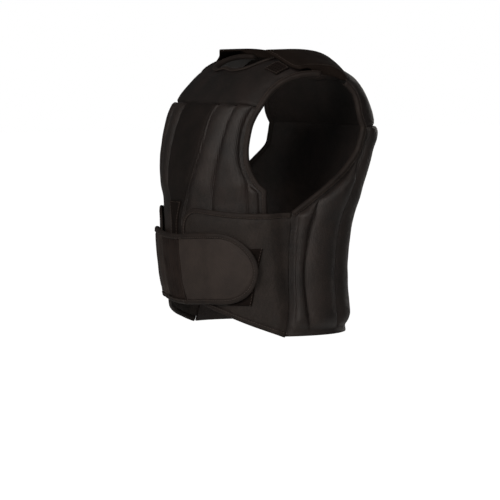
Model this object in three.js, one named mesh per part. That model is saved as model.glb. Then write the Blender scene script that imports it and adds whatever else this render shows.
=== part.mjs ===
// Padded rib protector for the chest and back, in the shape it has when it is worn and fastened.
// Millimetres, +Z up. The wearer faces -Y and the wearer's left is +X.
// The origin is midway between the shoulders, at the height where the vest sits on them.
import * as THREE from 'three';
import { mergeVertices } from 'three/addons/utils/BufferGeometryUtils.js';

// Torso that the lining lies on
const torsoHalfWidth = 150;
const torsoFrontDepth = 128;
const torsoBackDepth = 139;
const torsoLength = 400;
const ridgeSetback = 19;
const shoulderMiddle = 108;
const shoulderSlope = 0.38;

// Heights below the shoulders
const frontSeamDrop = 56;
const backSeamDrop = 86;
const armholeDrop = 176;
const frontHemDrop = 347;
const backHemDrop = 390;
const wingTopDrop = 210;
const beltTopDrop = 244;

// Front panel, measured round the body from its centre line
const frontSideReach = 157;
const columnHalfWidth = 48;
const columnFlank = 5;
const middleGroove = 91;
const outerGroove = 131;
const narrowestRib = 2;

// Back panel, measured round the body from its centre line
const backCentreGroove = 34;
const backRibWidth = 56;
const backRibCount = 4;

// Neck and shoulders, measured from the centre line
const neckHalfWidth = 69;
const shoulderReach = 138;

// Straps: a turn of 1 is on top of the shoulder
const strapInnerEdge = 66;
const strapWidth = 66;
const strapFrontTurn = 0.77;
const strapCornerPull = 9;
const strapTipLift = 9;
const shoulderPatchStart = 90;
const shoulderPatchWidth = 27;
const shoulderPatchLength = 26;
const shoulderPatchTurn = 0.672;
const shoulderPatchBars = 5;

// Cloth and padding
const edgeThickness = 4;
const ribThickness = 15;
const narrowRibThickness = 11;
const columnThickness = 14;
const yokeThickness = 9;
const strapThickness = 5;
const wingThickness = 4.5;
const tabThickness = 4.5;
const elasticThickness = 2.5;
const patchThickness = 1.5;
const hemMargin = 10;
const seamRoll = 16;
const seamFullness = 0.75;
const rimWidth = 8;

// Binding tape
const tapeThickness = 1.2;
const tapeWidth = 6;
const tapeClearance = 0.9;

// Waist wings, belt and their loop patches
const leftWingFrontReach = 24;
const rightWingFrontReach = 57;
const wingCornerRadius = 32;
const wingTopRise = 7;
const wingHemSlope = 0.356;
const wingSeamReach = 181;
const wingSeamLean = 22;
const beltHeight = 100;
const beltSideRise = 5;
const leftElasticReach = 20;
const rightElasticReach = 38;
const elasticPleats = 3;
const elasticPleatDepth = 0.7;
const tabTipReach = 141;
const tabEndDepth = 50;
const wingStep = { start: 12, end: 5 };
const patchStep = { start: 31, end: 16 };
const tipEase = 14;
const loopTopDrop = 196;
const loopBottomDrop = 330;
const wingPatchStart = 94;
const wingPatchReach = 150;
const wingPatchLean = 23;
const wingPatchTopDrop = 260;
const wingPatchBottomDrop = 343;

// Gaps
const gap = 0.3;
const layerGap = 0.8;
const wingPatchGap = 1.3;

// How finely the surfaces are drawn
const panelRowCount = 6;
const centreRowCount = 5;
const frontNeckRowCount = 8;
const backNeckRowCount = 6;
const strapRowCount = 6;
const liningStep = 3;

const clothColour = 0x1d1b1b;
const strapColour = 0x181414;
const elasticColour = 0x221c1b;
const patchColour = 0x120f0f;
const tapeColour = 0x2a2625;

// A smooth curve through one column of a table, against another column that only rises.
function curve(rows, along, name) {
  const xs = rows.map((row) => row[along]);
  const ys = rows.map((row) => row[name]);
  const last = xs.length - 1;
  const slopes = xs.slice(1).map((x, i) => (ys[i + 1] - ys[i]) / (x - xs[i]));
  const tangents = xs.map((_, i) => {
    if (i === 0) return slopes[0];
    if (i === last) return slopes[last - 1];
    const product = slopes[i - 1] * slopes[i];
    return product > 0 ? (2 * product) / (slopes[i - 1] + slopes[i]) : 0;
  });
  return (x) => {
    let i = 0;
    while (i < last - 1 && x > xs[i + 1]) i += 1;
    const width = xs[i + 1] - xs[i];
    const s = (x - xs[i]) / width;
    const start = (1 + 2 * s) * (1 - s) ** 2 * ys[i] + s * (1 - s) ** 2 * width * tangents[i];
    const end = s * s * (3 - 2 * s) * ys[i + 1] + s * s * (s - 1) * width * tangents[i + 1];
    return start + end;
  };
}

const mix = (a, b, share) => a + (b - a) * share;
const clamp01 = (x) => Math.min(1, Math.max(0, x));
const smooth = (x) => clamp01(x) ** 2 * (3 - 2 * clamp01(x));
const steps = (count) => Array.from({ length: count + 1 }, (_, i) => i / count);

// Sections of the torso. Heights are shares of its length, sizes are shares of its width and depths.
const torsoSections = [
  { drop: 0.115, width: 1.0, front: 0.64, back: 0.85, frontSquare: 3.0, backSquare: 4.0 },
  { drop: 0.14, width: 1.0, front: 0.68, back: 0.878, frontSquare: 3.0, backSquare: 4.0 },
  { drop: 0.215, width: 1.0, front: 0.79, back: 1.0, frontSquare: 2.9, backSquare: 4.0 },
  { drop: 0.298, width: 0.993, front: 0.875, back: 0.957, frontSquare: 2.7, backSquare: 3.6 },
  { drop: 0.44, width: 0.993, front: 0.977, back: 0.856, frontSquare: 2.15, backSquare: 3.0 },
  { drop: 0.573, width: 0.953, front: 1.0, back: 0.777, frontSquare: 2.05, backSquare: 2.6 },
  { drop: 0.748, width: 0.94, front: 0.95, back: 0.748, frontSquare: 2.05, backSquare: 2.4 },
  { drop: 0.885, width: 0.947, front: 0.868, back: 0.777, frontSquare: 2.05, backSquare: 2.4 },
  { drop: 1.023, width: 0.987, front: 0.86, back: 0.82, frontSquare: 2.05, backSquare: 2.4 },
];
const sectionColumn = Object.fromEntries(
  ['width', 'front', 'back', 'frontSquare', 'backSquare'].map((name) => [
    name,
    curve(torsoSections, 'drop', name),
  ]),
);

// Depth and squareness of the front or back half of the torso at one height.
function torsoHalf(z, isFront) {
  const drop = -z / torsoLength;
  return {
    width: torsoHalfWidth * sectionColumn.width(drop),
    depth: isFront
      ? torsoFrontDepth * sectionColumn.front(drop)
      : torsoBackDepth * sectionColumn.back(drop),
    square: isFront ? sectionColumn.frontSquare(drop) : sectionColumn.backSquare(drop),
  };
}

// A point of the torso at an angle round it, from the centre front towards the wearer's left.
function torsoPoint(angle, z) {
  const half = torsoHalf(z, Math.cos(angle) > 0);
  const across = Math.abs(Math.sin(angle) / half.width) ** half.square;
  const along = Math.abs(Math.cos(angle) / half.depth) ** half.square;
  const radius = (across + along) ** (-1 / half.square);
  return new THREE.Vector3(radius * Math.sin(angle), -radius * Math.cos(angle), z);
}

// Moves a point of a surface out along the normal that two neighbouring directions give.
function lifted(surface, a, b, stepA, stepB, lift) {
  const alongA = surface(a + stepA, b).sub(surface(a - stepA, b));
  const alongB = surface(a, b + stepB).sub(surface(a, b - stepB));
  const normal = alongA.cross(alongB).normalize();
  return { point: surface(a, b).addScaledVector(normal, lift), normal };
}

// Lengths round the torso at one height, from the centre front to the centre back.
const rulerSteps = 240;
const rulers = new Map();
function ruler(z) {
  const key = z.toFixed(3);
  if (!rulers.has(key)) {
    const lengths = [0];
    let before = torsoPoint(0, z);
    for (let i = 1; i <= rulerSteps; i += 1) {
      const here = torsoPoint((Math.PI * i) / rulerSteps, z);
      lengths.push(lengths[i - 1] + here.distanceTo(before));
      before = here;
    }
    rulers.set(key, lengths);
  }
  return rulers.get(key);
}
const halfGirth = (z) => ruler(z)[rulerSteps];

// The angle at a length round the torso. Past the centre back it carries on round the right side.
function angleAt(reach, z) {
  const lengths = ruler(z);
  const girth = lengths[rulerSteps];
  if (reach < 0) return -angleAt(-reach, z);
  if (reach > girth) return 2 * Math.PI - angleAt(2 * girth - reach, z);
  let i = 0;
  while (i < rulerSteps - 1 && lengths[i + 1] < reach) i += 1;
  const share = (reach - lengths[i]) / (lengths[i + 1] - lengths[i]);
  return (Math.PI * (i + share)) / rulerSteps;
}

const angleStep = 0.002;
const heightStep = 0.05;
const onTorso = (reach, z, lift) =>
  lifted(torsoPoint, angleAt(reach, z), z, angleStep, heightStep, lift);

// The surface over the shoulders. The turn is 0 at the front seam, 1 on the ridge, 2 at the back seam.
const ridgeHeight = (x) => shoulderSlope * (shoulderMiddle - Math.abs(x));
function seamDepth(x, z, isFront) {
  const half = torsoHalf(z, isFront);
  const share = Math.abs(x) / half.width;
  const depth = half.depth * (1 - share ** half.square) ** (1 / half.square);
  return isFront ? -depth : depth;
}
function bezier(a, b, c, d, s) {
  return (1 - s) ** 3 * a + 3 * (1 - s) ** 2 * s * b + 3 * (1 - s) * s * s * c + s ** 3 * d;
}
function shoulderPoint(x, turn) {
  const top = ridgeHeight(x);
  const isFront = turn <= 1;
  const seamZ = isFront ? -frontSeamDrop : -backSeamDrop;
  const seamY = seamDepth(x, seamZ, isFront);
  const rise = top - seamZ;
  const run = ridgeSetback - seamY;
  const s = isFront ? turn : 2 - turn;
  const lean = isFront ? 0.3 : -0.1;
  const climb = isFront ? 0.45 : 0.54;
  const roll = isFront ? 0.5 : 0.74;
  const y = bezier(seamY, seamY + lean * rise, ridgeSetback - roll * run, ridgeSetback, s);
  const z = bezier(seamZ, seamZ + climb * rise, top, top, s);
  return new THREE.Vector3(x, y, z);
}
const sideStep = 0.2;
const turnStep = 0.001;
const overShoulder = (x, turn, lift) => lifted(shoulderPoint, x, turn, sideStep, turnStep, lift);

// Collects triangles and turns them into a geometry with shared corners.
class Facets {
  constructor() {
    this.corners = [];
  }

  triangle(a, b, c) {
    this.corners.push(a, b, c);
  }

  quad(a, b, c, d) {
    this.triangle(a, b, c);
    this.triangle(a, c, d);
  }

  // Fills the strip between two lines of points that may have different counts.
  zip(outer, inner, flipped) {
    const shares = (line) => {
      const sums = [0];
      for (let k = 1; k < line.length; k += 1) sums.push(sums[k - 1] + line[k].distanceTo(line[k - 1]));
      return sums.map((sum) => sum / sums[sums.length - 1]);
    };
    const outerShares = shares(outer);
    const innerShares = shares(inner);
    let i = 0;
    let j = 0;
    while (i < outer.length - 1 || j < inner.length - 1) {
      const nextOuter = i < outer.length - 1 ? outerShares[i + 1] : 2;
      const nextInner = j < inner.length - 1 ? innerShares[j + 1] : 2;
      const stepsOuter = nextOuter <= nextInner;
      const tip = stepsOuter ? outer[i + 1] : inner[j + 1];
      const [a, b, c] = stepsOuter ? [tip, outer[i], inner[j]] : [outer[i], inner[j], tip];
      if (flipped) this.triangle(a, c, b);
      else this.triangle(a, b, c);
      if (stepsOuter) i += 1;
      else j += 1;
    }
  }

  // Adds every triangle again on the other side of the centre plane.
  mirror() {
    const other = this.corners.map((p) => new THREE.Vector3(-p.x, p.y, p.z));
    for (let i = 0; i < other.length; i += 3) this.triangle(other[i], other[i + 2], other[i + 1]);
  }

  geometry() {
    const onPlane = 1e-6;
    const flat = this.corners.flatMap((p) => [Math.abs(p.x) < onPlane ? 0 : p.x, p.y, p.z]);
    const made = new THREE.BufferGeometry();
    made.setAttribute('position', new THREE.Float32BufferAttribute(flat, 3));
    return mergeVertices(made, 1e-3);
  }
}

// A closed shell between an outer and an inner grid of points with equal rows.
// The joined rows have no wall at their first column, where a mirrored half meets them.
function shell(outer, inner, joined = () => false) {
  const facets = new Facets();
  const top = outer.length - 1;
  for (let i = 0; i < top; i += 1) {
    for (let j = 0; j < outer[i].length - 1; j += 1) {
      facets.quad(outer[i][j], outer[i][j + 1], outer[i + 1][j + 1], outer[i + 1][j]);
    }
    for (let j = 0; j < inner[i].length - 1; j += 1) {
      facets.quad(inner[i][j], inner[i + 1][j], inner[i + 1][j + 1], inner[i][j + 1]);
    }
    const lastOuter = outer[i].length - 1;
    const lastInner = inner[i].length - 1;
    if (!joined(i)) facets.quad(inner[i][0], outer[i][0], outer[i + 1][0], inner[i + 1][0]);
    facets.quad(
      outer[i][lastOuter],
      inner[i][lastInner],
      inner[i + 1][lastInner],
      outer[i + 1][lastOuter],
    );
  }
  facets.zip(outer[0], inner[0], false);
  facets.zip(outer[top], inner[top], true);
  return facets;
}

// A tape folded round an edge. Each place along the edge has the panel's outer and inner corners on
// the rim, and a little way in. The places keep the panel on the left, seen from outside.
function foldedTape(places, isLoop = false) {
  const middle = ([outer, inner]) => outer.clone().lerp(inner, 0.5);
  const across = ([outer, inner]) => outer.clone().sub(inner);
  const spots = places.map(({ rim }) => middle(rim));
  const count = places.length;
  const out = -gap - tapeThickness;
  const rings = places.map(({ rim, margin }, i) => {
    const before = isLoop ? spots[(i + count - 1) % count] : spots[Math.max(0, i - 1)];
    const after = isLoop ? spots[(i + 1) % count] : spots[Math.min(count - 1, i + 1)];
    const along = after.clone().sub(before).normalize();
    const near = across(rim).length() / 2 + tapeClearance;
    const far = near + tapeThickness;
    const inward = middle(margin).sub(spots[i]);
    inward.addScaledVector(along, -inward.dot(along)).normalize();
    const normal = along.clone().cross(inward).normalize();
    return [
      [tapeWidth, near],
      [tapeWidth, far],
      [out, far],
      [out, -far],
      [tapeWidth, -far],
      [tapeWidth, -near],
      [-gap, -near],
      [-gap, near],
    ].map(([x, up]) => spots[i].clone().addScaledVector(inward, x).addScaledVector(normal, up));
  });
  const facets = new Facets();
  const corners = rings[0].length;
  const segments = isLoop ? rings.length : rings.length - 1;
  for (let i = 0; i < segments; i += 1) {
    const ring = rings[i];
    const following = rings[(i + 1) % rings.length];
    for (let k = 0; k < corners; k += 1) {
      const next = (k + 1) % corners;
      facets.quad(ring[k], ring[next], following[next], following[k]);
    }
  }
  if (!isLoop) {
    const last = rings[rings.length - 1];
    [
      [0, 1, 2, 7],
      [7, 2, 3, 6],
      [6, 3, 4, 5],
    ].forEach(([a, b, c, d]) => {
      facets.quad(rings[0][d], rings[0][c], rings[0][b], rings[0][a]);
      facets.quad(last[a], last[b], last[c], last[d]);
    });
  }
  return facets.geometry();
}

const vest = new THREE.Group();
function addPiece(name, geometry, colour, roughness) {
  const material = new THREE.MeshStandardMaterial({ color: colour, roughness, metalness: 0 });
  const mesh = new THREE.Mesh(geometry, material);
  mesh.name = name;
  vest.add(mesh);
  return mesh;
}
// The wearer's left piece, and its mirror image on the right.
function addPair(name, geometry, colour, roughness) {
  addPiece(`${name}_left`, geometry, colour, roughness);
  addPiece(`${name}_right`, geometry, colour, roughness).scale.x = -1;
}

// Front panel: a flat centre column and three sewn ribs to each side.
const frontEdge = [
  { drop: 0, reach: 0.854 },
  { drop: 0.117, reach: 0.828 },
  { drop: 0.242, reach: 0.815 },
  { drop: 0.45, reach: 0.815 },
  { drop: 0.65, reach: 0.834 },
  { drop: 0.783, reach: 0.873 },
  { drop: 0.925, reach: 0.936 },
  { drop: 1, reach: 1 },
];
const frontGrooves = [
  { drop: 0, column: 1, middle: 1 },
  { drop: 0.21, column: 0.95, middle: 0.95 },
  { drop: 0.4, column: 0.67, middle: 0.85 },
  { drop: 0.47, column: 0.5, middle: 0.83 },
  { drop: 0.6, column: 0.3, middle: 0.81 },
  { drop: 1, column: 0.26, middle: 0.8 },
];
const frontEdgeCurve = curve(frontEdge, 'drop', 'reach');
const columnCurve = curve(frontGrooves, 'drop', 'column');
const middleCurve = curve(frontGrooves, 'drop', 'middle');
const frontEdgeReach = (z) =>
  frontSideReach * frontEdgeCurve(clamp01((-z - frontSeamDrop) / (armholeDrop - frontSeamDrop)));
const frontDrop = (z) => clamp01((-z - frontSeamDrop) / (frontHemDrop - frontSeamDrop));

// The wings and the belt press the ribs flatter.
const pressedShare = 0.55;
const pressedDepth = 30;
const pressed = (z) => mix(1, pressedShare, smooth((-z - wingTopDrop) / pressedDepth + 1.4));

// Places across one rib: each has a share of its width and how full it stands there.
const ribShape = [
  { share: 0.12, height: 0.6 },
  { share: 0.34, height: 0.95 },
  { share: 0.66, height: 0.95 },
  { share: 0.88, height: 0.6 },
];
function ribPlaces(from, to, thickness) {
  const places = ribShape.map(({ share, height }) => ({
    reach: mix(from, to, share),
    height: mix(edgeThickness, thickness, height),
  }));
  return [...places, { reach: to, height: edgeThickness }];
}

// Padding is full between the roll at the top seam and the one above the hem margin.
const rollShare = (distance) => Math.sqrt(clamp01(distance / seamRoll));
const seamShare = (distance) => mix(seamFullness, 1, rollShare(distance));
const paddingAt = (z, topDrop, hemDrop) =>
  Math.min(seamShare(-z - topDrop), rollShare(hemDrop - hemMargin + z));

// Width of the hem margin along a row, so that it keeps its width square to a slanting edge.
const slantedMargin = (edgeReach, z) =>
  hemMargin * Math.min(1.8, Math.hypot(1, (edgeReach(z + 4) - edgeReach(z - 4)) / 8));

function frontHalfPlaces(z) {
  const column = columnHalfWidth * columnCurve(frontDrop(z));
  const middle = middleGroove * middleCurve(frontDrop(z));
  const edge = frontEdgeReach(z);
  const margin = edge - slantedMargin(frontEdgeReach, z);
  const outer = Math.min(outerGroove, margin - narrowestRib);
  const outerShare = smooth((margin - outer) / (frontSideReach - outerGroove - hemMargin));
  const full = mix(edgeThickness, ribThickness, pressed(z));
  const narrow = mix(edgeThickness, narrowRibThickness, outerShare * pressed(z));
  const flat = mix(edgeThickness, columnThickness, mix(pressed(z), 1, 0.4));
  return [
    { reach: 0, height: flat },
    { reach: column - columnFlank, height: flat },
    { reach: column - columnFlank * 0.2, height: mix(edgeThickness, flat, 0.55) },
    { reach: column, height: edgeThickness },
    ...ribPlaces(column, middle, full),
    ...ribPlaces(middle, outer, full),
    ...ribPlaces(outer, margin, narrow),
    { reach: edge, height: edgeThickness },
  ];
}

// Heights of a panel's rows, from its hem up to its top seam.
function panelRows(topDrop, hemDrop, fixedDrops) {
  const hemRoll = hemDrop - hemMargin;
  const rolls = [topDrop + gap / 2, topDrop + seamRoll * 0.3, hemRoll - seamRoll * 0.3];
  const even = steps(panelRowCount).map((s) => mix(topDrop + seamRoll, hemRoll - seamRoll, s));
  const nearest = 9;
  const free = even.filter((drop) => fixedDrops.every((f) => Math.abs(f - drop) > nearest));
  const all = [...rolls, ...free, ...fixedDrops, hemRoll, hemDrop];
  return all.sort((a, b) => b - a).map((drop) => -drop);
}

// Both halves of a panel whose places are given for the left half.
const bothHalves = (half) => [
  ...half.slice(1).reverse().map(({ reach, height }) => ({ reach: -reach, height })),
  ...half,
];
const thinned = (half) => half.filter((_, i) => i % liningStep === 0 || i >= half.length - 2);
function quilt(rows, halfPlaces, topDrop, hemDrop, locate) {
  const outer = rows.map((z) => {
    const padding = paddingAt(z, topDrop, hemDrop);
    return bothHalves(halfPlaces(z)).map(({ reach, height }) =>
      locate(reach, z, mix(edgeThickness, height, padding)).point,
    );
  });
  const inner = rows.map((z) =>
    bothHalves(thinned(halfPlaces(z))).map(({ reach }) => locate(reach, z, 0).point),
  );
  return { outer, inner };
}
const armholeRows = [134, 151, 167, armholeDrop];
const frontRows = panelRows(frontSeamDrop, frontHemDrop, armholeRows);
const frontQuilt = quilt(frontRows, frontHalfPlaces, frontSeamDrop, frontHemDrop, onTorso);
addPiece('front_quilt', shell(frontQuilt.outer, frontQuilt.inner).geometry(), clothColour, 0.75);

// Back panel: a centre rib and four more to each side, wider below the arms.
const wingSeam = (z) => {
  const share = (-z - wingTopDrop) / (backHemDrop - wingTopDrop);
  return wingSeamReach + wingSeamLean * (0.5 - clamp01(share));
};
const backEdge = [
  { drop: 0, share: 0.57 },
  { drop: 0.22, share: 0.57 },
  { drop: 0.45, share: 0.64 },
  { drop: 0.65, share: 0.75 },
  { drop: 0.85, share: 0.89 },
  { drop: 1, share: 1 },
];
const backEdgeCurve = curve(backEdge, 'drop', 'share');
// Half the width of the back panel, round the body from the centre back.
function backEdgeReach(z) {
  const widest = halfGirth(z) - wingSeam(z) - gap / 2;
  return widest * backEdgeCurve(clamp01((-z - backSeamDrop) / (wingTopDrop - backSeamDrop)));
}
function backHalfPlaces(z) {
  const edge = backEdgeReach(z);
  const margin = edge - slantedMargin(backEdgeReach, z);
  const places = [
    { reach: 0, height: ribThickness },
    { reach: backCentreGroove * 0.7, height: mix(edgeThickness, ribThickness, 0.9) },
    { reach: backCentreGroove * 0.9, height: mix(edgeThickness, ribThickness, 0.5) },
    { reach: backCentreGroove, height: edgeThickness },
  ];
  let from = backCentreGroove;
  for (let rib = 1; rib <= backRibCount; rib += 1) {
    const room = margin - (backRibCount - rib) * narrowestRib;
    const to = rib === backRibCount ? margin : Math.min(from + backRibWidth, room);
    const fullness = smooth((to - from) / (backRibWidth * 0.5));
    places.push(...ribPlaces(from, to, mix(edgeThickness, ribThickness, fullness)));
    from = to;
  }
  return [...places, { reach: edge, height: edgeThickness }];
}
const underarmRows = [148, 166, 184, 198, wingTopDrop];
const backRows = panelRows(backSeamDrop, backHemDrop, underarmRows);
// Reach is counted from the centre back here, towards the wearer's right.
const onBack = (reach, z, lift) => onTorso(halfGirth(z) + reach, z, lift);
const backQuilt = quilt(backRows, backHalfPlaces, backSeamDrop, backHemDrop, onBack);
addPiece('back_quilt', shell(backQuilt.outer, backQuilt.inner).geometry(), clothColour, 0.75);

// Yokes: smooth padded panels from the seams up to the shoulders, open at the neck.
const armholeOver = [
  { turn: 0, reach: 0.91 },
  { turn: 0.25, reach: 0.92 },
  { turn: 0.5, reach: 0.942 },
  { turn: 0.75, reach: 0.971 },
  { turn: 1, reach: 0.993 },
  { turn: 1.2, reach: 1 },
  { turn: 1.4, reach: 1 },
  { turn: 1.7, reach: 0.98 },
  { turn: 2, reach: 0.94 },
];
const armholeOverCurve = curve(armholeOver, 'turn', 'reach');
// The armhole's edge over the shoulder meets the edges of the front and back panels.
const frontCorner = onTorso(frontEdgeReach(-frontSeamDrop), -frontSeamDrop, 0).point.x;
const backCorner = -onBack(backEdgeReach(-backSeamDrop), -backSeamDrop, 0).point.x;
function armholeX(turn) {
  const first = shoulderReach * armholeOver[0].reach;
  const last = shoulderReach * armholeOver[armholeOver.length - 1].reach;
  const atFront = (frontCorner - first) * (1 - smooth(turn / 0.6));
  const atBack = (backCorner - last) * smooth((turn - 1.4) / 0.6);
  return shoulderReach * armholeOverCurve(turn) + atFront + atBack;
}
const frontNeck = [
  { along: 0, side: 0, turn: 0.42 },
  { along: 0.2, side: 0.29, turn: 0.43 },
  { along: 0.4, side: 0.58, turn: 0.48 },
  { along: 0.58, side: 0.8, turn: 0.59 },
  { along: 0.74, side: 0.93, turn: 0.75 },
  { along: 0.88, side: 0.985, turn: 0.91 },
  { along: 1, side: 1, turn: 1.06 },
];
const backNeck = [
  { along: 0, side: 0, turn: 1.6 },
  { along: 0.35, side: 0.36, turn: 1.58 },
  { along: 0.65, side: 0.68, turn: 1.52 },
  { along: 0.85, side: 0.87, turn: 1.44 },
  { along: 1, side: 0.96, turn: 1.36 },
];
const strapSeamTurn = backNeck[backNeck.length - 1].turn;

// Each row of half a yoke has its inner end on the centre line or the neck and its outer end on the
// armhole. Rows run up the centre first and then round the neck.
const shoulderSpan = Math.hypot(torsoFrontDepth, frontSeamDrop);
const seamTurnGap = gap / shoulderSpan;
function yokeRows(neck, seamTurn, neckRowCount) {
  const side = curve(neck, 'along', 'side');
  const turn = curve(neck, 'along', 'turn');
  const firstTurn = seamTurn + (seamTurn < 1 ? seamTurnGap : -seamTurnGap);
  const endTurn = neck[neck.length - 1].turn;
  const total = centreRowCount + neckRowCount;
  return Array.from({ length: total + 1 }, (_, i) => {
    const along = clamp01((i - centreRowCount) / neckRowCount);
    const upCentre = clamp01(i / centreRowCount);
    const onNeck = i > centreRowCount;
    return {
      innerX: onNeck ? neckHalfWidth * side(along) : 0,
      innerTurn: onNeck ? turn(along) : mix(firstTurn, neck[0].turn, upCentre),
      outerTurn: mix(firstTurn, endTurn, (i / total) ** 1.5),
      onNeck,
    };
  });
}
const nearestOf = (line, p) => line.reduce((best, q) => Math.min(best, q.distanceTo(p)), Infinity);
// Outer and inner grids of half a yoke: thin at the neck, armhole, seam and end, full in between.
function yokeGrids(rows, neck, seamTurn) {
  const side = curve(neck, 'along', 'side');
  const turnOf = curve(neck, 'along', 'turn');
  const endTurn = neck[neck.length - 1].turn;
  const lineSteps = steps(60);
  const neckLine = lineSteps.map((s) => shoulderPoint(neckHalfWidth * side(s), turnOf(s)));
  const armLine = lineSteps.map((s) => {
    const turn = mix(seamTurn, endTurn, s);
    return shoulderPoint(armholeX(turn), turn);
  });
  const liftAt = (x, turn) => {
    const p = shoulderPoint(x, turn);
    const full = Math.min(
      rollShare(nearestOf(neckLine, p) - hemMargin),
      rollShare(nearestOf(armLine, p) - hemMargin),
      seamShare(Math.abs(turn - seamTurn) * shoulderSpan),
      rollShare(Math.abs(turn - endTurn) * shoulderSpan),
    );
    return mix(edgeThickness, yokeThickness, full);
  };
  const grid = (isOuter) =>
    rows.map((row) => {
      const outerX = armholeX(row.outerTurn);
      const width = outerX - row.innerX;
      const margin = hemMargin / width;
      const roll = seamRoll / width;
      const inner = row.onNeck ? margin : margin * 0.2;
      const outer = 1 - margin;
      const middle = mix(inner + roll, outer - roll, 0.5);
      const outerShares = [inner + roll, middle, outer - roll, outer - roll * 0.3, outer, 1];
      const shares = [0, inner, inner + roll * 0.3, ...outerShares];
      const chosen = isOuter ? shares : [0, inner, middle, outer, 1];
      return chosen.map((share) => {
        const x = mix(row.innerX, outerX, share);
        const turn = mix(row.innerTurn, row.outerTurn, share);
        return overShoulder(x, turn, isOuter ? liftAt(x, turn) : 0).point;
      });
    });
  return { outer: grid(true), inner: grid(false) };
}
const frontYokeRows = yokeRows(frontNeck, 0, frontNeckRowCount);
const backYokeRows = yokeRows(backNeck, 2, backNeckRowCount).reverse();
const frontYoke = yokeGrids(frontYokeRows, frontNeck, 0);
const backYoke = yokeGrids(backYokeRows, backNeck, 2);
function addYoke(name, rows, grids) {
  const onCentreLine = (i) => !rows[i].onNeck && !rows[i + 1].onNeck;
  const facets = shell(grids.outer, grids.inner, onCentreLine);
  facets.mirror();
  addPiece(name, facets.geometry(), clothColour, 0.8);
}
addYoke('front_yoke', frontYokeRows, frontYoke);
addYoke('back_yoke', backYokeRows, backYoke);

// Shoulder straps: sewn to the back yoke, over the shoulder, with a free front end.
const strapSections = [
  { turn: 0.6, lift: 1 },
  { turn: 1.07, lift: 1 },
  { turn: 1.15, lift: 1 },
  { turn: 1.25, lift: 0.8 },
  { turn: strapSeamTurn, lift: 0.2 },
];
const strapLift = curve(strapSections, 'turn', 'lift');
const strapPlaces = [
  { share: 0, pull: -0.7 },
  { share: 0.12, pull: -0.5 },
  { share: 0.3, pull: -0.15 },
  { share: 0.5, pull: 0 },
  { share: 0.75, pull: 0.05 },
  { share: 0.9, pull: 0.35 },
  { share: 1, pull: 1 },
];
const strapTurns = steps(strapRowCount);
function strapGrid(lift) {
  return strapTurns.map((along) =>
    strapPlaces.map(({ share, pull }) => {
      const start = strapFrontTurn + (strapCornerPull * pull) / shoulderSpan;
      const turn = mix(start, strapSeamTurn - 3 * seamTurnGap, along);
      const seated = (yokeThickness + layerGap) * strapLift(Math.max(turn, strapSections[0].turn));
      const tip = strapTipLift * clamp01(1 - share / 0.6) ** 2 * clamp01(1 - along / 0.4) ** 2;
      return overShoulder(strapInnerEdge + strapWidth * share, turn, seated + tip + lift).point;
    }),
  );
}
const strap = shell(strapGrid(strapThickness), strapGrid(0)).geometry();
addPair('shoulder_strap', strap, strapColour, 0.85);

// Fastener patches in front of the straps: a sewn rectangle with raised bars across it.
const patchBars = steps(shoulderPatchBars * 2);
function shoulderPatchGrid(isOuter) {
  return patchBars.map((along, i) =>
    steps(2).map((share) => {
      const bar = i % 2 === 1 ? patchThickness * 1.6 : patchThickness;
      const lift = yokeThickness + gap + (isOuter ? bar : 0);
      const x = shoulderPatchStart + shoulderPatchWidth * share;
      const turn = shoulderPatchTurn + ((along - 0.5) * shoulderPatchLength) / shoulderSpan;
      return overShoulder(x, turn, lift).point;
    }),
  );
}
const shoulderPatch = shell(shoulderPatchGrid(true), shoulderPatchGrid(false)).geometry();
addPair('shoulder_patch', shoulderPatch, patchColour, 0.95);

// Loop patch low on the centre column. It runs down under the belt.
const columnLift = (z) => frontHalfPlaces(z)[0].height;
const loopRows = [...frontRows.filter((z) => -z > loopTopDrop && -z <= loopBottomDrop), -loopTopDrop];
const loopGrid = (thickness) =>
  loopRows.map((z) => {
    const half = columnHalfWidth * columnCurve(frontDrop(z)) - columnFlank - gap;
    const lift = columnLift(z) + gap + thickness;
    return steps(4).map((share) => onTorso(mix(-half, half, share), z, lift).point);
  });
addPiece('front_loop_patch', shell(loopGrid(patchThickness), loopGrid(0)).geometry(), patchColour, 0.95);

const rimInset = tapeClearance + tapeThickness;
// How far the round end of a flat piece draws back at a distance from its long edge.
function endPull(distance, radius, depth) {
  if (distance >= radius) return 0;
  return depth * (1 - Math.sqrt(1 - ((radius - distance) / radius) ** 2));
}
function marginPull(distance, radius, depth) {
  if (distance <= rimWidth) return depth;
  return rimWidth + endPull(distance - rimWidth, radius - rimWidth, depth - rimWidth);
}
const tongueShares = [0, 0.02, 0.08, 0.17, 0.32, 0.5, 0.68, 0.83, 0.92, 0.98, 1];
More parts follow.
